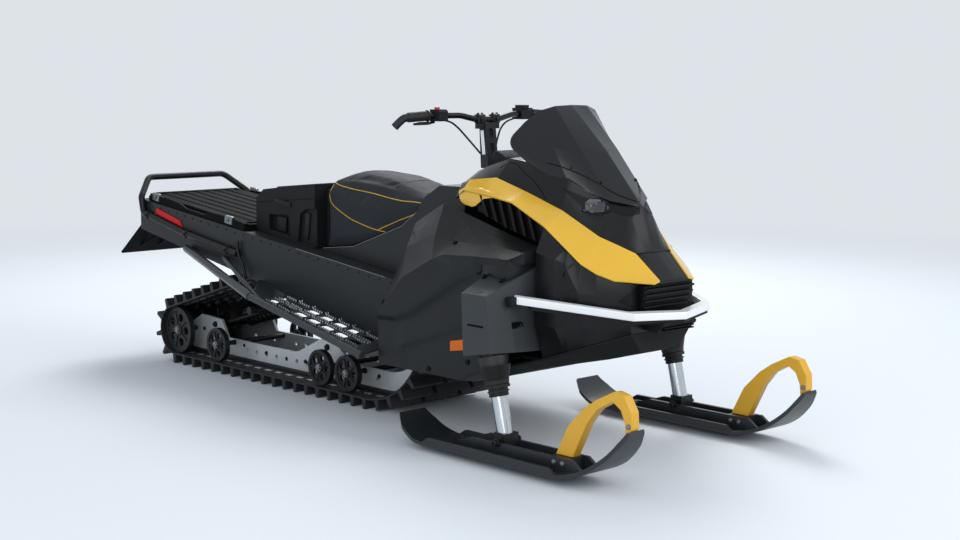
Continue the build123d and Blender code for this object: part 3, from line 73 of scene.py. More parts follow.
def colour(hex_code):
    """Linear RGBA of an sRGB hex colour."""
    channels = [int(hex_code[at:at + 2], 16) / 255 for at in (1, 3, 5)]
    return tuple(c / 12.92 if c <= 0.04045 else ((c + 0.055) / 1.055) ** 2.4 for c in channels) + (1.0,)


def add_node(tree, kind, settings=None, links=None, **attributes):
    """A shader node with its attributes, its sockets' values and the outputs linked into it."""
    made = tree.nodes.new(f"ShaderNode{kind}")
    for attribute, value in attributes.items():
        setattr(made, attribute, value)
    for socket, value in (settings or {}).items():
        made.inputs[socket].default_value = value
    for socket, output in (links or {}).items():
        tree.links.new(output, made.inputs[socket])
    return made


def emptied_tree(owner):
    """The node tree of a material or a world, with nothing in it."""
    owner.use_nodes = True
    owner.node_tree.nodes.clear()
    return owner.node_tree


def set_mode(kind):
    """Edit or object mode, by its name in capitals."""
    bpy.ops.object.mode_set(mode=kind)


def select_only(piece=None):
    """Object mode with nothing selected but this piece."""
    if bpy.context.object is not None and bpy.context.object.mode != "OBJECT":
        set_mode("OBJECT")
    bpy.ops.object.select_all(action="DESELECT")
    if piece is not None:
        piece.select_set(True)
        bpy.context.view_layer.objects.active = piece


world = bpy.data.worlds.new("overcast_sky")
bpy.context.scene.world = world
sky = emptied_tree(world)
rays = add_node(sky, "LightPath").outputs
seen = rays["Is Camera Ray"]
for ray in ("Is Glossy Ray", "Is Transmission Ray"):
    seen = add_node(sky, "Math", {}, {0: seen, 1: rays[ray]}, operation="MAXIMUM").outputs[0]
glow = add_node(sky, "Background", {"Color": colour(SKY_COLOUR), "Strength": SKY_LIGHT})
backdrop = add_node(sky, "Background", {"Color": colour(BACKDROP_COLOUR), "Strength": 1.0})
mixed = add_node(sky, "MixShader", {}, {0: seen, 1: glow.outputs[0], 2: backdrop.outputs[0]})
add_node(sky, "OutputWorld", {}, {"Surface": mixed.outputs[0]})

select_only()
bpy.ops.mesh.primitive_plane_add(size=2 * FLOOR_HALF, location=(0, 0, 0))
floor = bpy.context.object
floor.name = "floor"
snow = bpy.data.materials.new("packed_snow")
ground = emptied_tree(snow)
snow_shader = add_node(ground, "BsdfPrincipled",
                       {"Base Color": colour(FLOOR_COLOUR), "Roughness": 0.9, "Specular IOR Level": 0.2})
# far from the machine the floor fades into the backdrop
place = add_node(ground, "TexCoord").outputs["Object"]
from_middle = add_node(ground, "VectorMath", {}, {0: place}, operation="LENGTH")
fade = add_node(ground, "MapRange", {"From Min": FADE_START, "From Max": FADE_END},
                {"Value": from_middle.outputs["Value"]}, interpolation_type="SMOOTHSTEP")
haze = add_node(ground, "Emission", {"Color": colour(BACKDROP_COLOUR), "Strength": 1.0})
snow_mix = add_node(ground, "MixShader", {},
                    {0: fade.outputs[0], 1: snow_shader.outputs[0], 2: haze.outputs[0]})
add_node(ground, "OutputMaterial", {}, {"Surface": snow_mix.outputs[0]})
floor.data.materials.append(snow)

for name, place, size, power, aim in LAMPS:
    select_only()
    bpy.ops.object.light_add(type="AREA", location=place)
    lamp = bpy.context.object
    lamp.name = name
    lamp.data.size = size
    lamp.data.energy = power
    lamp.rotation_euler = (Vector(aim) - Vector(place)).to_track_quat("-Z", "Y").to_euler()

bpy.ops.object.camera_add(location=CAMERA_PLACE)
camera = bpy.context.object
turn, tilt, roll = (Matrix.Rotation(math.radians(angle), 4, axis)
                    for angle, axis in ((CAMERA_AZIMUTH, "Z"), (90 - CAMERA_FALL, "X"), (CAMERA_ROLL, "Z")))
camera.rotation_euler = (turn @ tilt @ roll).to_euler()
camera.data.lens = CAMERA_LENS
camera.data.sensor_width = 36.0
camera.data.clip_end = 100
bpy.context.scene.camera = camera
bpy.context.scene.view_settings.view_transform = "Standard"


# ---------- throttle cable and brake hose
# Both leave their control blocks and run down the steering riser to the column: a steel cable
# and a hose under extruded black rubber jackets.
CABLE_DIAMETER = 7.0
CABLES = {
    "throttle_cable": [(462, -200, 1111), (459, -154, 1106), (452, -108, 1084), (457, -70, 1048),
                       (470, -42, 1014), (486, -22, 984)],
    "brake_hose": [(466, 180, 1111), (466, 134, 1104), (470, 96, 1078), (480, 70, 1042), (494, 46, 1006),
                   (506, 22, 974)],
}
BLOTCH_SCALE = 6.5         # blotches of tint and gloss, about 150 mm across
GLOSS_SPREAD = 0.07        # how far they move the roughness either way
WORN_EDGE = (0.53, 0.62)   # pointiness where an edge begins to look rubbed, and where it is worn


def metres(*place):
    """A place or size in millimetres, as metres."""
    values = place[0] if len(place) == 1 else place
    return Vector(values) / 1000


def finish(name, hex_code, roughness, grain_mm, relief, relief_mm=0.4, spread=0.1, metal=0.0, gloss_coat=0.0,
           sheen=0.0, wear="", pebbled=False, brushed=None, specular=0.5):
    """A surface with grain in relief, uneven gloss, faint blotches and paler rubbed edges."""
    made = bpy.data.materials.new(name)
    tree = emptied_tree(made)
    place = add_node(tree, "TexCoord").outputs["Object"]
    grain_place = place
    if brushed:
        # the grain is drawn out along one axis, as brushing or rolling leaves it
        grain_place = add_node(tree, "Mapping", {"Scale": brushed}, {"Vector": place}).outputs[0]
    if pebbled:
        grain = add_node(tree, "TexVoronoi", {"Scale": 1000.0 / grain_mm, "Randomness": 0.9},
                         {"Vector": grain_place}, feature="SMOOTH_F1").outputs["Distance"]
    else:
        grain = add_node(tree, "TexNoise", {"Scale": 1000.0 / grain_mm, "Detail": 3.0},
                         {"Vector": grain_place}).outputs[0]
    blotch = add_node(tree, "TexNoise", {"Scale": BLOTCH_SCALE, "Detail": 5.0, "Roughness": 0.62},
                      {"Vector": place}).outputs[0]
    tint = add_node(tree, "MapRange",
                    {"From Min": 0.3, "From Max": 0.7, "To Min": 1 - spread, "To Max": 1 + spread},
                    {"Value": blotch})
    shade = add_node(tree, "VectorMath", {0: colour(hex_code)[:3]}, {"Scale": tint.outputs[0]},
                     operation="SCALE").outputs[0]
    if wear:
        edge = add_node(tree, "NewGeometry").outputs["Pointiness"]
        worn = add_node(tree, "MapRange",
                        {"From Min": WORN_EDGE[0], "From Max": WORN_EDGE[1], "To Max": 0.5},
                        {"Value": edge}).outputs[0]
        # sockets 6 and 7 are the two colours of this node's colour mode, and output 2 is their mix
        shade = add_node(tree, "Mix", {7: colour(wear)}, {0: worn, 6: shade},
                         data_type="RGBA").outputs[2]
    gloss = add_node(tree, "MapRange",
                     {"From Min": 0.25, "From Max": 0.75, "To Min": max(0.04, roughness - GLOSS_SPREAD),
                      "To Max": roughness + GLOSS_SPREAD}, {"Value": blotch})
    bump = add_node(tree, "Bump", {"Strength": relief, "Distance": relief_mm / 1000},
                    {"Height": grain})
    shader = add_node(tree, "BsdfPrincipled",
                      {"Metallic": metal, "Sheen Weight": sheen, "Coat Weight": gloss_coat,
                       "Coat Roughness": 0.06, "Specular IOR Level": specular},
                      {"Base Color": shade, "Roughness": gloss.outputs[0], "Normal": bump.outputs[0]})
    add_node(tree, "OutputMaterial", {}, {"Surface": shader.outputs[0]})
    return made


def give(piece, material):
    """The piece shows this finish on all its faces."""
    piece.data.materials.clear()
    piece.data.materials.append(material)


def round_line(name, route, radius, resolution=4, smooth=True):
    """A round line along a smooth curve that these points steer, or through them, with closed ends."""
    curve = bpy.data.curves.new(name, "CURVE")
    curve.dimensions = "3D"
    curve.bevel_depth = radius / 1000
    curve.bevel_resolution = resolution
    curve.use_fill_caps = True
    spline = curve.splines.new("NURBS" if smooth else "POLY")
    spline.points.add(len(route) - 1)
    for spot, place in zip(spline.points, route):
        spot.co = (*metres(place), 1.0)
    if smooth:
        spline.order_u = 3
        spline.use_endpoint_u = True
    made = bpy.data.objects.new(name, curve)
    bpy.context.collection.objects.link(made)
    return made


# Extruded jacket: matt and even, with only a faint grain
cable_jacket = finish("extruded_cable_jacket", "#0B0B0C", 0.5, 1.4, 0.3, specular=0.3)
for name, route in CABLES.items():
    cable = round_line(f"{name}_jacket", route, CABLE_DIAMETER / 2)
    give(cable, cable_jacket)
    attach(cable, "bars")
    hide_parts(name)


# ---------- tunnel, engine frame and hitch
# The tunnel is folded aluminium sheet under a satin black coat, riveted along its upper bends;
# the engine frame is the same sheet, and the hitch tongue is powder-coated steel plate.
ROOF_HEIGHT = 552.0        # tunnel roof at x = 0
ROOF_SLOPE = 0.112         # its rise to the rear
TUNNEL_SIDE_Y = 270.0
RIVET = (4.5, 2.4)         # radius and height
RIVET_X = range(-1410, 320, 62)
RIVET_DROP = 16.0          # a rivet row's distance under the roof
WELD_GAP = 0.00005         # metres; corners of a CAD mesh closer than this are one
FLAT_ANGLE = math.radians(0.6)


def modified(piece, kind, **settings):
    """A modifier with these settings on the piece."""
    made = piece.modifiers.new(kind.lower(), kind)
    for setting, value in settings.items():
        setattr(made, setting, value)
    return made


def apply_modifier(piece, kind, **settings):
    """A modifier with these settings, applied to the piece's mesh."""
    select_only(piece)
    bpy.ops.object.modifier_apply(modifier=modified(piece, kind, **settings).name)


def soften(piece, width, angle, segments=2):
    """The piece's edges that bend by more than this angle are rounded."""
    apply_modifier(piece, "BEVEL", width=width / 1000, segments=segments, limit_method="ANGLE",
                   angle_limit=math.radians(angle))


def round_edges(node, material, width, angle=24.0, segments=2, flat_faces=True):
    """A CAD node gets its finish, and its edges rounded as a mould or a press brake rounds them."""
    piece = nodes[node]
    give(piece, material)
    select_only(piece)
    bpy.ops.mesh.customdata_custom_splitnormals_clear()
    bpy.ops.object.shade_smooth()
    modified(piece, "WELD", merge_threshold=WELD_GAP)
    modified(piece, "DECIMATE", decimate_type="DISSOLVE", angle_limit=FLAT_ANGLE)
    modified(piece, "BEVEL", width=width / 1000, segments=segments, limit_method="ANGLE",
             angle_limit=math.radians(angle), use_clamp_overlap=True)
    if flat_faces:
        modified(piece, "WEIGHTED_NORMAL", keep_sharp=True, weight=60)
    return piece


def settle(name, piece, material, body="chassis", smooth=32.0):
    """A modelled piece gets its name, its place in its mesh, its finish and the body that carries it."""
    select_only(piece)
    bpy.ops.object.transform_apply()
    set_mode("EDIT")
    bpy.ops.mesh.select_all(action="SELECT")
    bpy.ops.mesh.normals_make_consistent(inside=False)
    set_mode("OBJECT")
    bpy.ops.object.shade_smooth_by_angle(angle=math.radians(smooth))
    piece.name = name
    piece.data.name = name
    give(piece, material)
    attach(piece, body)


def block(size, place, soft, turn=(0, 0, 0), segments=2):
    """A box of this size with rounded edges, turned by these degrees."""
    select_only()
    bpy.ops.mesh.primitive_cube_add(size=1, location=metres(place),
                                    rotation=[math.radians(angle) for angle in turn])
    made = bpy.context.object
    made.scale = metres(size)
    bpy.ops.object.transform_apply(location=False, rotation=False, scale=True)
    set_mode("EDIT")
    bpy.ops.mesh.bevel(offset=soft / 1000, segments=segments, affect="EDGES")
    set_mode("OBJECT")
    return made


def round_bar(start, end, radius, soft=1.0, sides=24, end_radius=None):
    """A round or tapered bar between two points, with its rims rounded."""
    select_only()
    start, end = metres(start), metres(end)
    bpy.ops.mesh.primitive_cone_add(vertices=sides, radius1=radius / 1000,
                                    radius2=(end_radius or radius) / 1000, depth=(end - start).length,
                                    location=(start + end) / 2,
                                    rotation=(end - start).to_track_quat("Z", "Y").to_euler())
    made = bpy.context.object
    if soft:
        soften(made, soft, 50)
    return made


def edit_top(piece):
    """Edit mode with just the faces selected that look up."""
    select_only(piece)
    bpy.context.tool_settings.mesh_select_mode = (False, False, True)
    set_mode("EDIT")
    bpy.ops.mesh.select_all(action="DESELECT")
    set_mode("OBJECT")
    for face in piece.data.polygons:
        face.select = face.normal.z > 0.9
    set_mode("EDIT")


def raise_faces(height):
    """The selected faces are pulled up by this height, with walls behind them."""
    bpy.ops.mesh.extrude_region_move(TRANSFORM_OT_translate={"value": (0, 0, height / 1000)})


def screw_head(radius, height, socket=True):
    """A flanged button head at the origin, facing up. Its proportions are shares of its sizes."""
    select_only()
    bpy.ops.mesh.primitive_cylinder_add(vertices=12, radius=radius / 1000, depth=height * 0.35 / 1000,
                                        location=metres(0, 0, height * 0.12))
    made = bpy.context.object
    bpy.ops.object.transform_apply(location=True, rotation=False, scale=False)
    edit_top(made)
    bpy.ops.mesh.inset(thickness=radius * 0.26 / 1000)
    raise_faces(height * 0.7)
    bpy.ops.mesh.inset(thickness=radius * 0.14 / 1000)
    bpy.ops.transform.translate(value=(0, 0, height * 0.12 / 1000))
    if socket:
        bpy.ops.mesh.inset(thickness=radius * 0.24 / 1000)
        raise_faces(-height * 0.4)
    set_mode("OBJECT")
    return made


def facing(place, direction):
    """Where a shape that was modelled facing up goes, so that it faces this way."""
    aim = Vector(direction).normalized()
    return Matrix.Translation(metres(place)) @ aim.to_track_quat("Z", "Y").to_matrix().to_4x4()


def joined(pieces):
    """The pieces as one mesh."""
    select_only(pieces[0])
    for piece in pieces:
        piece.select_set(True)
    if len(pieces) > 1:
        bpy.ops.object.join()
    return bpy.context.object


def repeated(model, places):
    """The modelled shape at each of these places, each with its own mesh, joined."""
    made = []
    for place in places:
        twin = model.copy()
        twin.data = model.data.copy()
        twin.matrix_world = place @ model.matrix_world
        bpy.context.collection.objects.link(twin)
        made.append(twin)
    bpy.data.objects.remove(model)
    return joined(made)


def both_sides(*pieces):
    """The modelled shapes and their mirror images across the machine's middle plane, as one mesh."""
    model = joined(pieces)
    bpy.ops.object.transform_apply()
    apply_modifier(model, "MIRROR", use_axis=(False, True, False), use_mirror_merge=False)
    return model


def roof(x):
    """Height of the tunnel's roof at this X."""
    return ROOF_HEIGHT - ROOF_SLOPE * x


# Rolled sheet under a thin satin coat: low, even gloss, and the bends rubbed to paler metal
coated_aluminium = finish("satin_coated_aluminium", "#141618", 0.42, 1.2, 0.12, metal=0.1,
                          wear="#4A4D50", specular=0.22)
# Baked powder: a fine orange peel, with grey showing where chains and boots rub it
powder_coat = finish("black_powder_coat", "#0E0F10", 0.4, 0.9, 0.2, wear="#343638", specular=0.25)
# Sand casting: rough, grey and dull
cast_metal = finish("sand_cast_aluminium", "#4C4E50", 0.6, 2.2, 0.5, metal=0.7)
# Zinc plate: bright grey with a soft reflection
zinc_steel = finish("zinc_plated_steel", "#8E9296", 0.32, 0.8, 0.08, metal=0.9, spread=0.08)
round_edges("tunnel", coated_aluminium, 1.2)
round_edges("front_frame", coated_aluminium, 1.5)
round_edges("engine_block", cast_metal, 8.0)
round_edges("tow_hitch", powder_coat, 1.2)

rivet = screw_head(*RIVET, socket=False)
row = [facing((x, -TUNNEL_SIDE_Y, roof(x) - RIVET_DROP), (0, -1, 0)) for x in RIVET_X]
settle("tunnel_rivets", both_sides(repeated(rivet, row)), powder_coat)


# ---------- skid: rails, shoes, wheels
# Two bright extruded rails carry black nylon wheels with rubber tyres; the belt slides on black
# plastic shoes, and the arms and dampers between the rails are powder-coated steel.
WHEEL_HALF = 12.0
TYRE_HALF = 5.2            # half the thickness of a tyre's rubber
SPOKE_COUNT = 5
SPOKE_DEPTH = 8.5          # from a wheel's middle plane to the middle of its spokes
SPOKE_MIDDLE = 0.53        # share of the wheel's radius
SPOKE_LENGTH = 0.5         # the same share
SPOKE_SECTION = (6.5, 7.0)
HUB_BOLT = (15, 9)         # radius and height of the bolt head
# Wheels of the skid: x, z, radius and the y of each
SKID_WHEELS = [(-1225, 146.5, 101.2, (-222, 0, 222))]
SKID_WHEELS += [(x, 117, 71.7, (-222, 222)) for x in (-930, -215, -46)]
RAIL_FACE_Y = 136.0
# Bolt heads on a rail's outer face, where axles and arms cross it: x, z and radius
RAIL_BOLTS = [(-1075, 178, 14), (-285, 178, 14), (-1160, 150, 9), (-1130, 110, 7), (-1010, 120, 9),
              (-860, 112, 7), (-700, 100, 9), (-560, 96, 7), (-430, 100, 9), (-130, 98, 8), (40, 106, 9),
              (-930, 117, 12), (-215, 117, 12), (-46, 117, 12)]

# Extruded bar: long faint die lines and a bright, cool reflection
bright_aluminium = finish("extruded_bright_aluminium", "#C6CACC", 0.38, 1.2, 0.2, spread=0.06, metal=0.45,
                          brushed=(0.08, 1.0, 1.0))
# Glass-filled nylon: matt black, greyer along its scuffed rims
nylon = finish("glass_filled_nylon", "#151617", 0.45, 1.5, 0.2, wear="#2E3032", specular=0.3)
# Slide plastic: waxy and a little scratched
slide_plastic = finish("slide_polyethylene", "#1C1D1E", 0.5, 2.0, 0.2)
# Wound spring wire under a hard glossy coat
spring_steel = finish("coated_spring_steel", "#0F1011", 0.28, 1.0, 0.1, gloss_coat=0.3)
# Bonded tyre rubber: dull, with a fine pitted skin
tyre_rubber = finish("wheel_tyre_rubber", "#101011", 0.66, 1.6, 0.4)
round_edges("slide_rails", bright_aluminium, 0.8)
round_edges("slide_shoes", slide_plastic, 2.0)
round_edges("rear_idlers", nylon, 1.4)
round_edges("bogie_wheels", nylon, 1.4)
round_edges("upper_rollers", nylon, 1.6)
round_edges("drive_axle", nylon, 2.0)
round_edges("suspension_arms", powder_coat, 1.5)
round_edges("shock_absorbers", spring_steel, 2.0)

tyres, spokes, hub_places = [], [], []
for x, z, radius, places in SKID_WHEELS:
    for y in places:
        select_only()
        bpy.ops.mesh.primitive_torus_add(location=metres(x, y, z), rotation=(math.pi / 2, 0, 0),
                                         major_segments=56, minor_segments=12,
                                         major_radius=(radius - TYRE_HALF) / 1000,
                                         minor_radius=TYRE_HALF / 1000)
        bpy.context.object.scale = (1, 1, WHEEL_HALF / TYRE_HALF)
        tyres.append(bpy.context.object)
        for face in (-1, 1):
            hub_places.append(facing((x, y + face * WHEEL_HALF, z), (0, face, 0)))
            for number in range(SPOKE_COUNT):
                angle = math.tau * (number + 0.5) / SPOKE_COUNT
                reach = Vector((math.cos(angle), 0, math.sin(angle))) * radius
                middle = Vector((x, y + face * SPOKE_DEPTH, z)) + reach * SPOKE_MIDDLE
                spokes.append(block((radius * SPOKE_LENGTH, *SPOKE_SECTION), middle, 1.6,
                                    (0, -math.degrees(angle), 0), 1))
settle("wheel_tyres", joined(tyres), tyre_rubber, smooth=60)
settle("wheel_spokes", joined(spokes), nylon)
settle("wheel_hub_bolts", repeated(screw_head(*HUB_BOLT), hub_places), zinc_steel)
heads = [repeated(screw_head(radius, radius * 0.7), [facing((x, -RAIL_FACE_Y + 0.5, z), (0, -1, 0))])
         for x, z, radius in RAIL_BOLTS]
settle("rail_bolts", both_sides(*heads), powder_coat)


# ---------- track
# One endless belt of moulded rubber over fabric and fibreglass rods, with tall lugs in three
# rows, stamped steel guide clips over its windows and drive lugs inside.
LUG_COUNT = 54
# The circles that the belt's inner face runs round: x, z, radius
ROUND_TRACK = [(-1225, 146.5, 101.5), (95, 375, 330), (360, 340, 90), (-560, 385, 68)]

# Moulded rubber: dull black with dried snow dust making it uneven, paler on its worn lugs
track_rubber = finish("moulded_track_rubber", "#141415", 0.6, 3.0, 0.5, spread=0.25,
                      relief_mm=0.8, wear="#2C2D2E")
# Stamped steel: polished by the slide shoes
clip_steel = finish("stamped_steel", "#C9CDD0", 0.25, 1.0, 0.05, metal=0.9, spread=0.05)
round_edges("track", track_rubber, 2.5, angle=30.0, segments=1)
# Small shapes all round the belt: name, size, rounding, finish and slot, their y, how far they are
# raised from the belt's inner face, and how far along from one lug to the next
BELT_SHAPES = [
    ("track_clips", (34, 18, 2.4), 0.8, clip_steel, "bright_aluminium", (-93, 93, -190, 190), -0.8, 0.5),
    ("track_drive_lugs", (26, 22, 20), 5.0, track_rubber, "track_rubber", (-52, 52), -9.0, 0.0),
    ("track_rod_ends", (13, 7, 9), 2.0, track_rubber, "track_rubber", (-252, 252), 3.5, 0.0),
]


def belt_places(phase):
    """A place for each lug on the belt's inner face: x, z and the outward heading."""
    runs = []
    for (ax, az, ar), (bx, bz, br) in zip(ROUND_TRACK, ROUND_TRACK[1:] + ROUND_TRACK[:1]):
        heading = math.atan2(bz - az, bx - ax) - math.acos((ar - br) / math.hypot(bx - ax, bz - az))
        out = Vector((math.cos(heading), math.sin(heading)))
        runs.append((Vector((ax, az)) + out * ar, Vector((bx, bz)) + out * br, heading))
    spans = []
    for index, (start, end, heading) in enumerate(runs):
        x, z, radius = ROUND_TRACK[(index + 1) % len(ROUND_TRACK)]
        swing = (runs[(index + 1) % len(runs)][2] - heading) % math.tau
        spans.append(((end - start).length, start, end, heading, 0.0, 0.0))
        spans.append((radius * swing, Vector((x, z)), None, heading, swing, radius))
    total = sum(span[0] for span in spans)
    places = []
    for number in range(LUG_COUNT):
        along = total * ((number + phase) / LUG_COUNT % 1)
        for length, start, end, heading, swing, radius in spans:
            if along > length:
                along -= length
                continue
            if end is None:
                out = heading + swing * along / length
                point = start + Vector((math.cos(out), math.sin(out))) * radius
            else:
                out, point = heading, start.lerp(end, along / length)
            places.append((point.x, point.y, out))
            break
    return places


for name, size, soft, material, slot, ys, lift, phase in BELT_SHAPES:
    places = [Matrix.Translation(metres(x + lift * math.cos(out), y, z + lift * math.sin(out)))
              @ Matrix.Rotation(math.pi / 2 - out, 4, "Y") for x, z, out in belt_places(phase) for y in ys]
    settle(name, repeated(block(size, (0, 0, 0), soft, segments=1), places), material)


# ---------- running boards
# Pressed aluminium boards with long openings that let snow through and rows of punched teeth
# for grip, on round edge tubes.
BOARD_X = (-384.0, 306.0)
BOARD_Y = (270.3, 440.0)
SLOT_ALONG = (0.13, 0.25, 0.37, 0.49, 0.61, 0.73, 0.85)
SLOT_ACROSS = (0.32, 0.68)
# Teeth stand in rows beside each slot, and in a column from slot to slot
TOOTH_STEPS = (-26, -13, 0, 13, 26)
TOOTH_FLANKS = (-21, 21)
COLUMN_STEP = 41
COLUMN_Y = (284, 296, 349, 361, 412, 424)
TOOTH_FOOT = 2.0           # how deep a tooth's foot stands in the board
TOOTH_HEIGHT = 6.0
TOOTH_RADII = (4.8, 2.4)   # at its foot and its top
TOOTH_RIM = 0.8            # round the punched hollow in its top
TOOTH_HOLLOW = 2.0
BOARD_ABOVE = 700.0        # a height well above the boards, where the search for their surface starts


def surface_of(*pieces):
    """Search trees of these pieces' finished surfaces."""
    view = bpy.context.evaluated_depsgraph_get()
    return [BVHTree.FromObject(piece, view) for piece in pieces]


# Punched sheet under a thin coat: its cut edges show bare
board_metal = finish("punched_aluminium", "#34373A", 0.38, 1.4, 0.2, metal=0.6, wear="#8C9094")
# Teeth worn bare by boots
tooth_metal = finish("bare_aluminium", "#8B8F93", 0.36, 0.8, 0.1, metal=0.85)
round_edges("running_boards", board_metal, 1.0)
board_surface, = surface_of(nodes["running_boards"])

tooth_spots = []
for along in SLOT_ALONG:
    x = BOARD_X[0] + (BOARD_X[1] - BOARD_X[0]) * along
    for across in SLOT_ACROSS:
        y = BOARD_Y[0] + (BOARD_Y[1] - BOARD_Y[0]) * across
        tooth_spots += [(x + step, y + flank) for step in TOOTH_STEPS for flank in TOOTH_FLANKS]
    tooth_spots += [(x + COLUMN_STEP, y) for y in COLUMN_Y]
tooth_places = []
for x, y in tooth_spots:
    hit, normal, _, _ = board_surface.ray_cast(metres(x, -y, BOARD_ABOVE), Vector((0, 0, -1)))
    if hit is not None:
        tooth_places.append(facing(hit * 1000, normal))
tooth = round_bar((0, 0, -TOOTH_FOOT), (0, 0, TOOTH_HEIGHT), TOOTH_RADII[0], 0, sides=6,
                  end_radius=TOOTH_RADII[1])
edit_top(tooth)
bpy.ops.mesh.inset(thickness=TOOTH_RIM / 1000)
raise_faces(-TOOTH_HOLLOW)
set_mode("OBJECT")
settle("board_teeth", both_sides(repeated(tooth, tooth_places)), tooth_metal, smooth=20)


# ---------- cargo deck, hoop and flap
# The deck is rotation-moulded black plastic with ribs and slotted cargo anchors, the hoop is bent
# steel tube, and the flap is a flexible rubber sheet with pressed stiffening ribs.
DECK_TOP = 26.0            # deck surface above the tunnel's roof
DECK_MIDDLE_X = -1047.0
DECK_RIB = (690, 34, 5)
DECK_RIB_Y = range(-168, 169, 56)
DECK_BEAM = (22, 440, 10)
DECK_BEAM_X = (-1400, -700)
DECK_LEAN = math.degrees(math.atan(ROOF_SLOPE))
ANCHOR = (52, 16, 34)
ANCHOR_X = (-778, -1330)
ANCHOR_Y = -260.0
ANCHOR_SCREW = (10, 6)     # radius and height of the head, as for the other screws
HOOP_CLAMP = (22, 32, 32)
HOOP_CLAMP_X = (-760, -1060, -1360)
HOOP_SCREW = (8, 5)
# Side line of the hoop's tubes, as x and z
HOOP_LINE = [(-690, 533), (-1100, 592), (-1402, 656)]
FLAP_RIB_SECTION = (10, 8)
FLAP_RIB_Y = (-190, -95, 0, 95, 190)
FLAP_FALL = ((-1440, 549), (-1616, 473))
# Bent rod from the tunnel's side down to the board's tube
BRACKET_ROD = [(-690, -281, 584), (-694, -283, 552), (-676, -284, 520), (-652, -284, 496),
               (-632, -286, 438)]
BRACKET_RADIUS = 6.5


def tube(route, radius, smooth=False):
    """A round tube through these points, or along a smooth line that they steer, as a mesh."""
    select_only(round_line("tube", route, radius, 4 if radius > 5 else 2, smooth))
    bpy.ops.object.convert(target="MESH")
    return bpy.context.object


# Rotation-moulded plastic: leathery pebble from the mould, matt, paler where it is scuffed
textured_plastic = finish("textured_polyethylene", "#141516", 0.6, 1.7, 0.5, pebbled=True, wear="#26282A",
                          specular=0.18)
# Calendered rubber: dull and slightly uneven
flap_rubber = finish("flap_rubber_sheet", "#0A0A0B", 0.7, 2.5, 0.3, specular=0.06)
# The deck's own plastic: the same pebble, deep black, with almost no gloss
deck_plastic = finish("black_deck_plastic", "#0B0B0C", 0.72, 2.2, 0.3, spread=0.08, pebbled=True,
                      specular=0.08)
# Anodised blocks: satin grey metal
anchor_metal = finish("anodised_aluminium", "#7B7F82", 0.36, 0.8, 0.08, metal=0.8)
round_edges("cargo_deck", deck_plastic, 4.0)
round_edges("rear_hoop", powder_coat, 1.0, angle=60.0)
round_edges("snow_flap", flap_rubber, 2.0)


def on_deck(size, x, y, above, soft):
    """A block that leans with the deck, this far above the tunnel's roof."""
    return block(size, (x, y, roof(x) + above), soft, turn=(0, DECK_LEAN, 0))


ribs = [on_deck(DECK_RIB, DECK_MIDDLE_X, y, DECK_TOP + 0.5, 2.2) for y in DECK_RIB_Y]
ribs += [on_deck(DECK_BEAM, x, 0, DECK_TOP + 1, 4) for x in DECK_BEAM_X]
settle("deck_ribs", joined(ribs), deck_plastic)
anchors = [on_deck(ANCHOR, x, ANCHOR_Y, DECK_TOP, 4) for x in ANCHOR_X]
heads = [facing((x, ANCHOR_Y - 7.5, roof(x) + DECK_TOP), (0, -1, 0)) for x in ANCHOR_X]
anchors.append(repeated(screw_head(*ANCHOR_SCREW), heads))
settle("cargo_anchors", both_sides(*anchors), anchor_metal)

(top_x, top_z), (foot_x, foot_z) = FLAP_FALL
lean = math.degrees(math.atan2(top_z - foot_z, top_x - foot_x))
x, z, length = (top_x + foot_x) / 2, (top_z + foot_z) / 2, math.dist(*FLAP_FALL)
ribs = [block((length, *FLAP_RIB_SECTION), (x, y, z), 3, turn=(0, -lean, 0)) for y in FLAP_RIB_Y]
settle("flap_ribs", joined(ribs), flap_rubber)

clamps, heads = [], []
for x in HOOP_CLAMP_X:
    (ax, az), (bx, bz) = HOOP_LINE[1:] if x < HOOP_LINE[1][0] else HOOP_LINE[:2]
    z = az + (x - ax) * (bz - az) / (bx - ax)
    clamps.append(block(HOOP_CLAMP, (x, -TUNNEL_SIDE_Y - 14, z), 4, turn=(0, DECK_LEAN, 0)))
    heads.append(facing((x, -TUNNEL_SIDE_Y - 30, z), (0, -1, 0)))
clamps += [repeated(screw_head(*HOOP_SCREW), heads), tube(BRACKET_ROD, BRACKET_RADIUS, smooth=True)]
settle("hoop_clamps", both_sides(*clamps), powder_coat)


# ---------- storage box
# A rotation-moulded box with a hinged, ribbed lid, rubber draw latches at its rear corners and
# moulded fittings let into its sides.
BOX_Y = 205.0
LID_TILT = -5.6
LID_RIB = (300, 9, 7)
LID_RIB_X, LID_RIB_Z = -440, 821
LID_RIB_Y = range(-150, 151, 50)
# The right draw latch: start, end and radius of its pins, and size, place and rounding of its strap
LATCH_PINS = [((-672, -192, 752), (-672, -144, 752), 9), ((-674, -188, 700), (-674, -148, 700), 7)]
LATCH_STRAP = ((12, 34, 60), (-670, -168, 724), 4)
# Fittings in the right side: size, place, rounding and tilt
SIDE_FITTINGS = [((110, 8, 20), (-478, -BOX_Y - 1, 754), 3, 8),
                 ((60, 10, 60), (-506, -BOX_Y + 16, 664), 4, 3),
                 ((26, 8, 108), (-330, -BOX_Y + 10, 668), 3, 8)]
# Moulded latch rubber: deep black and dull
latch_rubber = finish("latch_rubber", "#0E0F10", 0.55, 1.6, 0.4, specular=0.25)
round_edges("rear_box", textured_plastic, 7.0, segments=3)

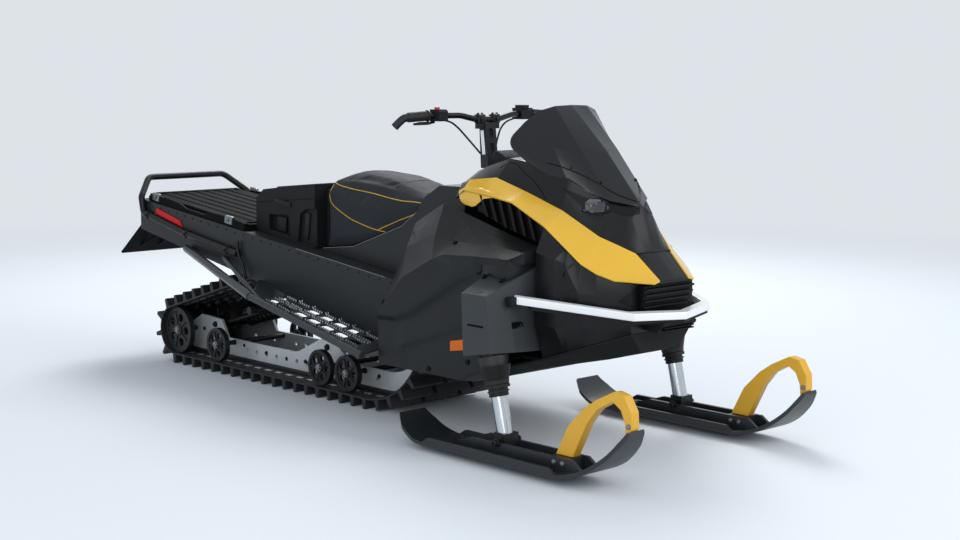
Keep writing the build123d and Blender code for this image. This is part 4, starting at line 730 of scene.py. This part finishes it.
latches = [round_bar(*pin) for pin in LATCH_PINS] + [block(*LATCH_STRAP)]
settle("box_latches", both_sides(*latches), latch_rubber)
lid_ribs = [block(LID_RIB, (LID_RIB_X, y, LID_RIB_Z), 3, turn=(0, LID_TILT, 0)) for y in LID_RIB_Y]
settle("lid_ribs", joined(lid_ribs), textured_plastic)
fittings = [block(size, place, soft, turn=(0, tilt, 0)) for size, place, soft, tilt in SIDE_FITTINGS]
settle("box_side_fittings", both_sides(*fittings), latch_rubber)


# ---------- tank cover and seat
# The tank cover is satin injection-moulded plastic with a screw-on fuel cap; the seat is foam
# under coated fabric, sewn from top and side panels with yellow piping in the seams. Thin bright
# lines along its foot and along the tunnel's upper bend are painted highlights.
PIPING_RADIUS = 1.9
SEAM_RADIUS = 1.3
HIGHLIGHT_LINE_RADIUS = 1.8
LINE_SMOOTHINGS = 3
LINE_STEP = 12.0           # spacing of the points that lay a line on a surface
SEAT_VOXEL = 7.0
SEAT_SHRINK = 3.0
SEAT_SWELL = 9.0
SEAT_BASE = -0.4           # faces that look down more than this belong to the seat's base
CLOTH_STEPS = 20
CAP_FOOT = Vector((402, 0, 845))
CAP_AXIS = Vector((-0.5, 0, 0.86))
# The fuel cap's collar and its grip: from and to along the axis, radius, rounding and sides
CAP_STEPS = [(-2, 8, 46, 2, 40), (6, 26, 36, 3, 14)]
BACK_PAD = ((20, 296, 232), (-264, 0, 700), 4)     # size, place and rounding

# Injection-moulded plastic: satin with a fine spark-eroded texture
satin_plastic = finish("satin_polypropylene", "#141618", 0.36, 0.9, 0.16, wear="#2A2C2E", specular=0.3)
# Coated fabric: a soft pebble drawn coarse enough to show, and a faint bloom at its edges
seat_fabric = finish("coated_seat_fabric", "#25272C", 0.64, 2.2, 0.45, sheen=0.03, pebbled=True,
                     relief_mm=0.5, specular=0.16)
# Vinyl piping: even and slightly glossy
piping_vinyl = finish("yellow_piping_vinyl", "#C79A1E", 0.45, 1.0, 0.2)
# Sewn seams: dark thread sunk in the fabric
seam_thread = finish("seam_thread", "#101112", 0.7, 1.0, 0.4)
round_edges("tank_cover", satin_plastic, 6.0)
cap = [round_bar(CAP_FOOT + CAP_AXIS * low, CAP_FOOT + CAP_AXIS * high, radius, soft, sides)
       for low, high, radius, soft, sides in CAP_STEPS]
settle("fuel_cap", joined(cap), textured_plastic)


def copy_to_shape(node, weld=0.0001):
    """A copy of a CAD node to be shaped: welded, with its own normals, and in edit mode."""
    select_only(nodes[node])
    bpy.ops.object.duplicate()
    bpy.ops.mesh.customdata_custom_splitnormals_clear()
    set_mode("EDIT")
    bpy.ops.mesh.select_all(action="SELECT")
    bpy.ops.mesh.remove_doubles(threshold=weld)
    bpy.ops.mesh.normals_make_consistent(inside=False)
    return bpy.context.object


seat_pad = copy_to_shape("seat")
seat_pad.name = "seat_cushion"
set_mode("OBJECT")
apply_modifier(seat_pad, "REMESH", mode="VOXEL", voxel_size=SEAT_VOXEL / 1000)
for vertex in seat_pad.data.vertices:
    if vertex.normal.z > SEAT_BASE:
        vertex.co -= vertex.normal * SEAT_SHRINK / 1000
apply_modifier(seat_pad, "SMOOTH", iterations=10)
rest = [vertex.co.copy() for vertex in seat_pad.data.vertices]
base = seat_pad.vertex_groups.new(name="base")
base.add([vertex.index for vertex in seat_pad.data.vertices if vertex.normal.z < SEAT_BASE], 1.0, "ADD")
cover = seat_pad.modifiers.new("cover", "CLOTH")
cover.settings.use_pressure = True
cover.settings.uniform_pressure_force = 4.0
cover.settings.effector_weights.gravity = 0.0
cover.settings.vertex_group_mass = "base"
cover.settings.quality = 4
cover.point_cache.frame_start = 1
cover.point_cache.frame_end = CLOTH_STEPS
for step in range(CLOTH_STEPS):
    bpy.context.scene.frame_set(step + 1)
select_only(seat_pad)
bpy.ops.object.modifier_apply(modifier=cover.name)
bpy.context.scene.frame_set(1)
for vertex, start in zip(seat_pad.data.vertices, rest):
    moved = vertex.co - start
    if moved.length > SEAT_SWELL / 1000:
        vertex.co = start + moved.normalized() * SEAT_SWELL / 1000
apply_modifier(seat_pad, "SMOOTH", iterations=3)
apply_modifier(seat_pad, "SUBSURF", levels=1, render_levels=1)
bpy.ops.object.shade_smooth()
give(seat_pad, seat_fabric)
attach(seat_pad, "chassis")
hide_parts("seat")


def nearest(surfaces, place):
    """The point nearest to this place on these surfaces, in millimetres, and the normal there."""
    hits = [surface.find_nearest(metres(place)) for surface in surfaces]
    spot, normal, _, _ = min(hits, key=lambda hit: hit[3])
    return spot * 1000.0, normal


def line_on(surfaces, route, radius, rise):
    """A thin round line laid on the nearest of these surfaces, through a few points."""
    points = []
    for start, end in zip(route, route[1:]):
        steps = max(1, round(math.dist(start, end) / LINE_STEP))
        points += [Vector(start).lerp(Vector(end), step / steps) for step in range(steps)]
    points.append(Vector(route[-1]))
    laid = []
    for point in points:
        spot, normal = nearest(surfaces, point)
        laid.append(spot + normal * rise)
    for _ in range(LINE_SMOOTHINGS):
        laid = [laid[0]] + [(a + b * 2 + c) / 4 for a, b, c in zip(laid, laid[1:], laid[2:])] + [laid[-1]]
    return tube(laid, radius)


# Seams of the right side, rear to front: round the crown, down the side, and across both ends
SEAT_SEAMS = [
    [(-262, -60, 853), (-244, -130, 850), (-195, -153, 844), (-104, -160, 833), (19, -162, 825),
     (104, -159, 815), (185, -153, 804), (240, -141, 801), (322, -118, 794)],
    [(-236, -150, 846), (-234, -168, 812), (-217, -171, 774), (-155, -170, 743), (-82, -169, 713),
     (-4, -168, 695), (70, -166, 681), (110, -164, 676)],
    [(70, -166, 681), (137, -162, 707), (188, -156, 727), (253, -148, 750), (306, -138, 778),
     (320, -122, 792)],
    [(322, -118, 794), (318, -60, 803), (316, 0, 806)],
    [(-262, -60, 853), (-266, 0, 853)],
]
CROSS_SEAMS = [[(-150, -150, 850), (-150, 0, 885)], [(120, -140, 826), (120, 0, 862)]]
# Painted highlights along the seat's foot on the tank cover, and along the tunnel's upper bend, as thin
# bright lines
HIGHLIGHT_LINES = [[(-236, -190.5, 588), (-45, -190.5, 610), (60, -190.5, 647), (239, -190.5, 710),
          (322, -190.5, 767)],
         [(x, -TUNNEL_SIDE_Y - 0.3, roof(x) - 1.5) for x in (-309, 236)]]
seat_surface = surface_of(seat_pad)
seams = [line_on(seat_surface, route, PIPING_RADIUS, 0.8) for route in SEAT_SEAMS]
settle("seat_piping", both_sides(*seams), piping_vinyl, smooth=60)
seams = [line_on(seat_surface, route, SEAM_RADIUS, 0.2) for route in CROSS_SEAMS]
settle("seat_cross_seams", both_sides(*seams), seam_thread, smooth=60)
# painted highlights: thin bright tubes where light catches the seat's foot and the tunnel's upper bend
highlight_lines = [tube(route, HIGHLIGHT_LINE_RADIUS) for route in HIGHLIGHT_LINES]
# a pad closes the gap between the seat and the box
settle("seat_back_pad", block(*BACK_PAD), latch_rubber)
settle("side_highlight_lines", both_sides(*highlight_lines), anchor_metal, smooth=60)


# ---------- body panels
# Injection-moulded panels: satin black cowl and sides with quarter-turn fasteners, greyer strut
# covers, glossy yellow hood sides, and black vents with leaning ribs.

# Gloss plastic: mirror-like highlights over an even yellow
yellow_plastic = finish("glossy_yellow_plastic", "#E6B431", 0.24, 0.8, 0.03, spread=0.03, gloss_coat=0.25)
# Vent plastic: deep black, dull
grille_plastic = finish("black_vent_plastic", "#070708", 0.5, 1.0, 0.2, specular=0.2)
# Satin cowl plastic: broad soft highlights, paler along its creases
cowl_plastic = finish("satin_cowl_plastic", "#121416", 0.34, 0.8, 0.1, spread=0.08, wear="#2C2E31",
                      specular=0.25)
# Strut covers: the same moulding, left greyer and less glossy
cover_plastic = finish("grey_cover_plastic", "#2D3134", 0.42, 0.8, 0.12, spread=0.08, wear="#3A3D40",
                       specular=0.4)
# Gaps between panels: no light comes back
gap_shadow = finish("panel_gap", "#050606", 0.8, 2.0, 0.1, specular=0.1)
round_edges("hood", cowl_plastic, 7.0, angle=17.0, segments=3, flat_faces=False)
round_edges("hood_side_panels", yellow_plastic, 1.6, angle=30.0)
round_edges("nose_shell", cowl_plastic, 8.0, angle=17.0, segments=3, flat_faces=False)
round_edges("nose_grille", grille_plastic, 1.5)
round_edges("strut_covers", cover_plastic, 7.0, angle=12.0, segments=3)
round_edges("belly_pan", textured_plastic, 2.5)
round_edges("vent_louvres", grille_plastic, 3.0)

# Each side panel swells above a pressed line and falls in below it: points (x, z) of the line,
# height of the step and how far the swelling reaches
PANEL_RIDGES = [
    ([(450, 704), (488, 687), (593, 662), (737, 634), (857, 646), (972, 662), (1031, 682)], 5.0, 70.0),
    ([(340, 402), (436, 405), (529, 433), (655, 504), (772, 572), (862, 604)], 11.0, 70.0),
    ([(500, 316), (555, 333), (681, 377), (885, 440)], 6.0, 45.0),
]
PANEL_GRID = 8             # spacing of the cuts that let the panel take the swelling
PANEL_END_X = (330, 1040)
PANEL_END_Z = (224, 744)
PANEL_ROUNDING = (14, 14, 4)   # width, least bend in degrees and segments of its rounded edges
PANEL_OUTER_Y = 300.0
PANEL_OUTWARD = -0.15      # only faces that look out more than this take the swelling
RIDGE_SHARPNESS = 13.0
RIDGE_END = 40.0           # a line dies out over this distance past its ends


def swelling(x, z):
    """How far the side panel stands out at this place of its side view."""
    total = 0.0
    for route, depth, reach in PANEL_RIDGES:
        found = []
        for start, end in zip(route, route[1:]):
            run = Vector(end) - Vector(start)
            along = (Vector((x, z)) - Vector(start)).dot(run) / run.length_squared
            held = min(1.0, max(0.0, along))
            gap = Vector((x, z)) - (Vector(start) + run * held)
            found.append((gap.length, abs(along - held) * run.length, run.x * gap.y - run.y * gap.x))
        distance, past, above = min(found)
        step = math.tanh(distance / RIDGE_SHARPNESS) * math.exp(-distance / reach)
        total += math.copysign(depth * step * math.exp(-(past / RIDGE_END) ** 2), above)
    return total


side_panels = copy_to_shape("side_panel_right", WELD_GAP)
bpy.ops.mesh.dissolve_limited(angle_limit=FLAT_ANGLE)
set_mode("OBJECT")
soften(side_panels, *PANEL_ROUNDING)
set_mode("EDIT")
for axis, (low, high) in ((Vector((1, 0, 0)), PANEL_END_X), (Vector((0, 0, 1)), PANEL_END_Z)):
    for place in range(low + PANEL_GRID, high, PANEL_GRID):
        bpy.ops.mesh.select_all(action="SELECT")
        bpy.ops.mesh.bisect(plane_co=axis * place / 1000, plane_no=axis)
set_mode("OBJECT")
for vertex in side_panels.data.vertices:
    x, y, z = vertex.co * 1000
    if y < -PANEL_OUTER_Y and vertex.normal.y < PANEL_OUTWARD:
        vertex.co.y -= swelling(x, z) / 1000
settle("side_panels", both_sides(side_panels), cowl_plastic, smooth=35)
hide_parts("side_panel_right", "side_panel_left")

# Gaps between mouldings of the right side, as points near the surface
PANEL_GAPS = [
    [(745, -175, 950), (775, -160, 968), (809, -160, 970), (861, -173, 942), (914, -177, 914),
     (949, -179, 885), (977, -182, 853)],
    [(1140, -270, 615), (1145, -267, 627), (1156, -261, 644), (1168, -249, 657)],
    [(1301, -88, 690), (1304, -47, 690), (1309, 0, 689)],
]
# Quarter-turn fasteners of the right side panel, and the screws on top of the strut cover
FASTENERS = [(440, -372, 250), (620, -398, 250), (820, -399, 300), (380, -352, 440), (705, -350, 700)]
FASTENER = (11, 5)         # radius and height of the head
COVER_SCREWS = [(910, -405, 603), (990, -401, 594)]
COVER_SCREW = (10, 8)
# Corners of the skirt that closes the side panel down to the strut cover, rear ones first
SKIRT = [(884, -396, 596), (884, -396, 662), (884, -279, 632), (884, -279, 662), (1006, -392, 590),
         (1010, -392, 668), (1034, -279, 634), (1036, -279, 668)]
# The yellow panel's corner that comes down behind the vent
VENT_CORNER = [(604, -238, 866), (609, -238, 838), (622, -240, 826), (642, -242, 819), (683, -247, 814),
               (704, -249, 820), (726, -252, 834), (748, -254, 846), (794, -260, 853), (839, -265, 853),
               (822, -263, 868), (725, -252, 884), (637, -241, 879)]
GRILLE_WEDGE = [(1307, -185, 540), (1327, -170, 561), (1338, -152, 573), (1341, -126, 586),
                (1341, -126, 518), (1334, -165, 528)]
VENT_CORNER_THICKNESS = 6.0
PATCH_CUTS = 5
PATCH_SINK = 0.3           # how deep a patch's underside stands in the surface
GAP_RADIUS = 1.6
WEDGE_THICKNESS = 1.6
# What stands for the parts inside: size, place and rounding, as for the strut cover's two long vents
BAFFLE = ((510, 8, 160), (855, 0, 770), 2)
STRUT_VENT = (1036, -372, 452)
LONG_VENTS = [((74, 5, 7), (958, -492, 452), 2), ((4, 54, 22), STRUT_VENT, 1.5)]
VENT_BAR = (6, 5, 18)
VENT_BAR_STEPS = (-18, -6, 6, 18)
VENT_BAR_TURN = (25, 0, 0)
body_surface = surface_of(nodes["hood"], nodes["nose_shell"], nodes["strut_covers"],
                          nodes["hood_side_panels"])
nose_surface, cover_surface = body_surface[1:2], body_surface[2:3]


def corner_block(corners, soft):
    """A block with these eight corners and rounded edges."""
    select_only()
    bpy.ops.mesh.primitive_cube_add(size=1)
    made = bpy.context.object
    for vertex, place in zip(made.data.vertices, corners):
        vertex.co = metres(place)
    set_mode("EDIT")
    bpy.ops.mesh.bevel(offset=soft / 1000, segments=2, affect="EDGES")
    set_mode("OBJECT")
    return made


def outlined(outline):
    """One face with these corners."""
    select_only()
    bpy.ops.mesh.primitive_circle_add(vertices=len(outline), radius=1, fill_type="NGON")
    made = bpy.context.object
    for vertex, place in zip(made.data.vertices, outline):
        vertex.co = metres(place)
    return made


def screws_on(surfaces, head, places):
    """A screw head of this radius and height on the nearest of these surfaces, at each place."""
    return repeated(screw_head(*head), [facing(*nearest(surfaces, place)) for place in places])


def patch_on(surfaces, outline, thickness):
    """A thin skin inside this outline, laid on the nearest of these surfaces."""
    made = outlined(outline)
    set_mode("EDIT")
    bpy.ops.mesh.quads_convert_to_tris(quad_method="BEAUTY", ngon_method="BEAUTY")
    bpy.ops.mesh.subdivide(number_cuts=PATCH_CUTS)
    set_mode("OBJECT")
    for vertex in made.data.vertices:
        spot, normal = nearest(surfaces, vertex.co * 1000.0)
        vertex.co = metres(spot + normal * (thickness / 2 - PATCH_SINK))
    apply_modifier(made, "SOLIDIFY", thickness=thickness / 1000, offset=0.0)
    return made


gaps = [line_on(body_surface, route, GAP_RADIUS, -0.3) for route in PANEL_GAPS]
settle("panel_gaps", both_sides(*gaps), gap_shadow, smooth=60)
fasteners = screws_on(surface_of(side_panels), FASTENER, FASTENERS)
settle("panel_fasteners", both_sides(fasteners), grille_plastic)
screws = screws_on(cover_surface, COVER_SCREW, COVER_SCREWS)
settle("cover_screws", both_sides(screws), grille_plastic)
settle("panel_skirts", both_sides(corner_block(SKIRT, 3)), cowl_plastic)
corner = outlined(VENT_CORNER)
apply_modifier(corner, "SOLIDIFY", thickness=VENT_CORNER_THICKNESS / 1000, offset=0.0)
soften(corner, 1.8, 50)
settle("vent_corners", both_sides(corner), yellow_plastic)
# the baffle stops the light between the vents of the two sides
settle("inner_baffle", block(*BAFFLE), grille_plastic)
wedge = patch_on(nose_surface, GRILLE_WEDGE, WEDGE_THICKNESS)
settle("grille_wedges", both_sides(wedge), grille_plastic)
x, y, z = STRUT_VENT
slits = [block(*vent) for vent in LONG_VENTS]
slits += [block(VENT_BAR, (x + 2, y + step, z), 1.2, turn=VENT_BAR_TURN) for step in VENT_BAR_STEPS]
settle("strut_cover_vents", both_sides(*slits), gap_shadow)


# ---------- bumper, windshield and lamps
# A glossy white strip on a black bumper, a smoked windshield screwed to the hood, and clear
# lamps with projector bowls in dark surrounds; the bowls' pale grey is a painted reflection.
RED = "#C4060A"
AMBER = "#D26400"
LAMP_SPOT = (1144, -124, 840)
LAMP_SURROUND = [(1025, -160, 899), (1077, -147, 881), (1118, -131, 866), (1154, -104, 866),
                 (1187, -82, 851), (1217, -51, 837), (1250, -13, 834), (1256, -19, 815), (1240, -62, 809),
                 (1199, -96, 822), (1170, -123, 812), (1139, -140, 811), (1108, -148, 838),
                 (1071, -154, 864)]
LAMP_LENS = [(1115, -137, 849), (1126, -125, 862), (1155, -107, 860), (1176, -100, 844), (1178, -112, 822),
             (1145, -134, 817), (1124, -142, 826)]
# The windshield's rear corner on the right, and the ways that its two edges run from there
SHIELD_CORNER = (796, -200, 1040)
SHIELD_WAYS = ((62, 34, 73), (84, 32, -71))
SHIELD_CORNER_SOFT = 40.0
SHIELD_CUTS = (-2, -1, 0, 1, 2)     # flats that round the corner, in thirds of the way to an edge
SHIELD_EDGE = [(880, -170, 990), (945, -160, 980), (1010, -150, 967), (1080, -125, 945), (1147, -100, 915),
               (1193, -60, 880), (1240, -10, 862)]
EDGING_RADIUS = 2.6
SHIELD_SCREWS = [(930, -162, 990), (1050, -140, 968), (1150, -90, 925)]
SHIELD_SCREW = (7, 4)
SURROUND_THICKNESS = 1.6
LENS_THICKNESS = 5.0
BOWL = (4.6, 13, 1.5)      # depth, radius and rounding
END_CAP = ((36, 26, 34), (1036, -404, 532), 6)     # size, place and rounding
SLAT = (52, 150, 4)
SLAT_X = 1394
SLAT_HEIGHTS = (446, 455)
SLAT_TURN = (0, 6, 0)
# White gloss plastic: clean and even
white_plastic = finish("white_gloss_plastic", "#F4F6F7", 0.24, 0.9, 0.04, spread=0.03, gloss_coat=0.3)
# Smoked sheet: nearly black, with long clean reflections
shield_plastic = finish("smoked_polycarbonate", "#121417", 0.22, 0.9, 0.02, spread=0.04, specular=0.4)
# Clear lens over a dark reflector: uneven grey behind a glossy face
lamp_clear = finish("clear_lamp_lens", "#3A3D41", 0.16, 40.0, 0.02, spread=0.25, gloss_coat=0.2,
                    specular=0.35)
# Reflector lenses: prism cells under a glossy face
lens_red, lens_amber = (
    finish(name, lens, 0.35, 5.0, 0.5, spread=0.06, gloss_coat=0.08, pebbled=True, specular=0.2)
    for name, lens in (("red_reflector_lens", RED), ("amber_reflector_lens", AMBER)))
# Projector glass: very smooth, its pale grey a painted reflection of light in the lamp
bowl_painted_reflection = finish("projector_glass_painted_reflection", "#7E868E", 0.1, 30.0, 0.02, spread=0.1, gloss_coat=0.8)


def two_finishes(piece, second, chosen):
    """The faces whose centre passes this test show a second finish."""
    piece.data.materials.append(second)
    for face in piece.data.polygons:
        face.material_index = 1 if chosen(face.center) else 0


round_edges("front_bumper", white_plastic, 4.0)
round_edges("bumper_lip", textured_plastic, 4.0)
screen = copy_to_shape("windshield")
upper_edge, lower_edge = (Vector(way).normalized() for way in SHIELD_WAYS)
inward = (upper_edge + lower_edge).normalized()
across = (upper_edge - inward * upper_edge.dot(inward)).normalized()
half_angle = upper_edge.angle(inward)
centre = Vector(SHIELD_CORNER) + inward * SHIELD_CORNER_SOFT / math.sin(half_angle)
for step in SHIELD_CUTS:
    lean = step * (math.pi / 2 - half_angle) / 3
    outward = across * math.sin(lean) - inward * math.cos(lean)
    touch = centre + outward * SHIELD_CORNER_SOFT
    for side in (1, -1):
        bpy.ops.mesh.select_all(action="SELECT")
        bpy.ops.mesh.bisect(plane_co=metres(touch.x, touch.y * side, touch.z), use_fill=True,
                            clear_outer=True, plane_no=(outward.x, outward.y * side, outward.z))
set_mode("OBJECT")
soften(screen, 2.5, 12, segments=3)
settle("windshield_screen", screen, shield_plastic, smooth=20)
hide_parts("windshield")
round_edges("headlights", lamp_clear, 3.0)
two_finishes(round_edges("reflectors", lens_red, 1.2), lens_amber, lambda centre: centre.x > 0)

lamp_surface = surface_of(nodes["hood"], nodes["headlights"])
surround = patch_on(lamp_surface, LAMP_SURROUND, SURROUND_THICKNESS)
settle("lamp_surrounds", both_sides(surround), grille_plastic, smooth=60)
lens = patch_on(lamp_surface, LAMP_LENS, LENS_THICKNESS)
settle("lamp_covers", both_sides(lens), lamp_clear, smooth=60)
spot, normal = nearest(lamp_surface, LAMP_SPOT)
bowl_depth, bowl_radius, bowl_soft = BOWL
# the bowl's pale grey is a painted reflection: the bright crescent in the dark lamp
bowl = round_bar(spot, spot + normal * bowl_depth, bowl_radius, bowl_soft, sides=32)
settle("lamp_bowls", both_sides(bowl), bowl_painted_reflection)
shield_surface = surface_of(screen)
edging = line_on(shield_surface, SHIELD_EDGE, EDGING_RADIUS, 0.3)
settle("windshield_edging", both_sides(edging), grille_plastic, smooth=60)
screws = screws_on(shield_surface, SHIELD_SCREW, SHIELD_SCREWS)
settle("windshield_screws", both_sides(screws), powder_coat)
settle("bumper_end_caps", both_sides(block(*END_CAP)), textured_plastic)
slats = [block(SLAT, (SLAT_X, 0, z), 1.4, turn=SLAT_TURN) for z in SLAT_HEIGHTS]
settle("lower_intake_slats", joined(slats), grille_plastic)


# ---------- steering
# Black steel riser and bar, soft ribbed grips, moulded control blocks with rubber switches, and a
# gauge in a pod on the hood, behind the windshield.
BAR_X, BAR_Z = 497.0, 1110.0
BAR_CLAMP = (32, 16, 34)
CLAMP_Y = (-47, -27, 27, 47)
CLAMP_SCREW = (6, 5)
GRIP_START = Vector((462, -250, 1126))
GRIP_ALONG = Vector((447, -352, 1120)) - GRIP_START
GRIP_STEP = GRIP_ALONG.normalized()
GRIP_RINGS = [0.14 + 0.06 * number for number in range(13)]     # shares of the way along the grip
GRIP_RING = (-1.5, 1.5, 17.8, 0.8)  # from and to along the grip, radius and rounding
GRIP_FLANGE = (0, 4, 21, 1.5)
GRIP_FLANGE_SHARE = 0.09
GRIP_HOOK = [(449, -340, 1121), (446, -352, 1120), (441, -366, 1112), (430, -388, 1087)]
GRIP_HOOK_RADIUS = 14.5
STOP_BUTTON = ((464, -217, 1146), (464, -217, 1157), 9.5, 2.5)  # foot, top, radius and rounding
# Switches on both control blocks, the gauge's pod and its screen: size, place and rounding
SWITCHES = [((18, 8, 7), (476, 208, 1149), 2), ((10, 20, 8), (447, 222, 1132), 2.5),
            ((10, 14, 10), (447, 196, 1118), 2.5), ((10, 12, 8), (447, -212, 1128), 2.5)]
GAUGE_POD = ((70, 190, 46), (652, 0, 972), 14)
GAUGE_SCREEN = ((4, 150, 34), (620, 0, 984), 1.8)
RISER_FACE_Y = 26.0
RISER_STRIP = ((508, 982), (497, 1070))
STRIP_SECTION = (16, 2.0)
GAUGE_TURN = (0, 28, 0)
# Soft grip rubber: pebbled and dull
grip_rubber = finish("soft_grip_rubber", "#0E0F10", 0.6, 2.4, 0.5, pebbled=True)
# Switch plastic: plain bright red
red_plastic = finish("red_switch_plastic", RED, 0.35, 0.8, 0.05)
# Reflective film: pale, with glass beads that glitter a little
strip_film = finish("pale_reflective_film", "#F2F5F8", 0.22, 2.5, 0.1, spread=0.08, pebbled=True)
# Gauge glass: black and glossy
gauge_glass = finish("gauge_glass", "#0B0E12", 0.08, 20.0, 0.02, gloss_coat=0.6)
round_edges("steering_post", powder_coat, 2.0)
round_edges("handlebar", powder_coat, 1.0, angle=60.0)
round_edges("grips", grip_rubber, 2.0)
round_edges("hand_controls", textured_plastic, 3.0)


def grip_ring(share, start, end, radius, soft, sides=24):
    """A ring on the right grip, from start to end past this share of the grip's length."""
    middle = GRIP_START + GRIP_ALONG * share
    return round_bar(middle + GRIP_STEP * start, middle + GRIP_STEP * end, radius, soft, sides)


rings = [grip_ring(share, *GRIP_RING) for share in GRIP_RINGS]
rings.append(grip_ring(GRIP_FLANGE_SHARE, *GRIP_FLANGE, sides=32))
rings.append(tube(GRIP_HOOK, GRIP_HOOK_RADIUS, smooth=True))
settle("grip_ribs", both_sides(*rings), grip_rubber, "bars")
settle("stop_button", round_bar(*STOP_BUTTON), red_plastic, "bars")
switches = [block(*switch) for switch in SWITCHES]
settle("bar_switches", joined(switches), grip_rubber, "bars")
(low_x, low_z), (high_x, high_z) = RISER_STRIP
lean = math.degrees(math.atan2(low_x - high_x, high_z - low_z))
middle = ((low_x + high_x) / 2, -RISER_FACE_Y - 0.6, (low_z + high_z) / 2)
strip = block((*STRIP_SECTION, math.dist(*RISER_STRIP)), middle, 0.8, turn=(0, -lean, 0))
settle("riser_strips", both_sides(strip), strip_film, "bars")
clamps = [block(BAR_CLAMP, (BAR_X, y, BAR_Z + 2), 7, segments=3) for y in CLAMP_Y]
heads = [facing((BAR_X, y, BAR_Z + 18.5), (0, 0, 1)) for y in CLAMP_Y]
clamps.append(repeated(screw_head(*CLAMP_SCREW), heads))
settle("bar_clamps", joined(clamps), powder_coat, "bars")
pod = block(*GAUGE_POD, turn=GAUGE_TURN, segments=4)
settle("gauge_pod", pod, textured_plastic)
gauge = block(*GAUGE_SCREEN, turn=GAUGE_TURN)
settle("gauge_screen", gauge, gauge_glass)


# ---------- steering legs and skis
# Polished tubes on painted forks slide in black sleeves with rubber boots; the skis are moulded
# plastic with yellow handles, rubber blocks before and behind the leg, and zinc-plated bolts.
PIVOT_X, PIVOT_Z = 1065.0, 78.0
LEG_RAKE = math.tan(math.radians(13.5))
STANCE_Y = 450.0
SIDES = {"right": -STANCE_Y, "left": STANCE_Y}
FORK_TOP_Z = 0.112         # metres; below this the leg is a painted fork
# Folds and cone of a leg's boot: height of foot and top, radius there, rounding and sides
BOOT_SHAPES = [(236, 241, 37, 37, 1.8, 36), (249, 254, 42, 42, 1.8, 36), (254, 259, 42, 42, 1.8, 36),
               (260, 352, 40, 51, 2, 48)]
PIVOT_BOLT = (15, 10)
PIVOT_BOLT_Y = 50          # from the middle of the ski to the foot of the head
SKI_RUBBER = (26, 50, 20)
SKI_RUBBER_Z = (42, 46)    # lower and higher blocks take turns
SKI_RUBBER_X = (890, 920, 950, 980, 1150, 1180, 1210, 1240, 1270)
LONG_RIB = (560, 6, 6)
LONG_RIB_X, LONG_RIB_Y, LONG_RIB_Z = 1010, 62, 36
CROSS_RIB = (8, 44, 5)
CROSS_RIB_X = range(800, 1330, 48)
CROSS_RIB_Y, CROSS_RIB_Z = 66, 35.5
HANDLE_BOLT = (9, 6)
# Bolts of a ski's handle: x, distance from the middle of the ski, and height
HANDLE_FEET = [(1326, 44, 62), (1362, 44, 62), (1611, 18, 218)]
# Ground steel tube: a bright mirror with faint turning lines round it
polished_tube = finish("polished_steel_tube", "#C6CCD2", 0.16, 0.8, 0.03, spread=0.03, metal=1.0)
# Moulded ski plastic: tough, satin, scratched pale along its ribs
ski_plastic = finish("moulded_ski_plastic", "#1F2225", 0.38, 1.4, 0.25, wear="#2A2C2E")
# Handle plastic: yellow right through, satin
handle_plastic = finish("yellow_handle_plastic", "#E0AA2A", 0.34, 1.2, 0.12, spread=0.05)
# Boot rubber: soft and dull
boot_rubber = finish("boot_rubber", "#111213", 0.55, 2.0, 0.3)
round_edges("strut_sleeves", powder_coat, 1.5)


def leg_spot(z):
    """Point on the right steering leg's axis at this height."""
    return Vector((PIVOT_X - LEG_RAKE * (z - PIVOT_Z), -STANCE_Y, z))


def bolt_places(middle_y, places):
    """Where bolt heads go on both flanks of a ski, from x, distance from its middle and height."""
    return [facing((x, middle_y + face * gap, z), (0, face, 0)) for face in (-1, 1) for x, gap, z in places]


folds = [round_bar(leg_spot(foot), leg_spot(top), radius, soft, sides, top_radius)
         for foot, top, radius, top_radius, soft, sides in BOOT_SHAPES]
settle("boot_folds", both_sides(*folds), boot_rubber, smooth=45)

for side, y in SIDES.items():
    leg, ski = f"{side}_leg", f"{side}_ski"
    tubes = round_edges(f"steering_leg_{side}", polished_tube, 1.5, angle=40.0)
    two_finishes(tubes, powder_coat, lambda centre: centre.z < FORK_TOP_Z)
    round_edges(f"ski_{side}", ski_plastic, 3.0)
    round_edges(f"ski_handle_{side}", handle_plastic, 4.0)
    heads = bolt_places(y, [(PIVOT_X, PIVOT_BOLT_Y, PIVOT_Z)])
    settle(f"pivot_bolt_heads_{side}", repeated(screw_head(*PIVOT_BOLT), heads), powder_coat,
           leg)
    lumps = [block(SKI_RUBBER, (x, y, SKI_RUBBER_Z[number % 2]), 6, segments=3)
             for number, x in enumerate(SKI_RUBBER_X)]
    settle(f"ski_rubber_{side}", joined(lumps), boot_rubber, ski)
    ribs = [block(LONG_RIB, (LONG_RIB_X, y + face * LONG_RIB_Y, LONG_RIB_Z), 2) for face in (-1, 1)]
    ribs += [block(CROSS_RIB, (x, y + face * CROSS_RIB_Y, CROSS_RIB_Z), 1.6)
             for x in CROSS_RIB_X for face in (-1, 1)]
    settle(f"ski_ribs_{side}", joined(ribs), ski_plastic, ski)
    heads = bolt_places(y, HANDLE_FEET)
    settle(f"ski_handle_bolts_{side}", repeated(screw_head(*HANDLE_BOLT), heads), zinc_steel,
           ski)
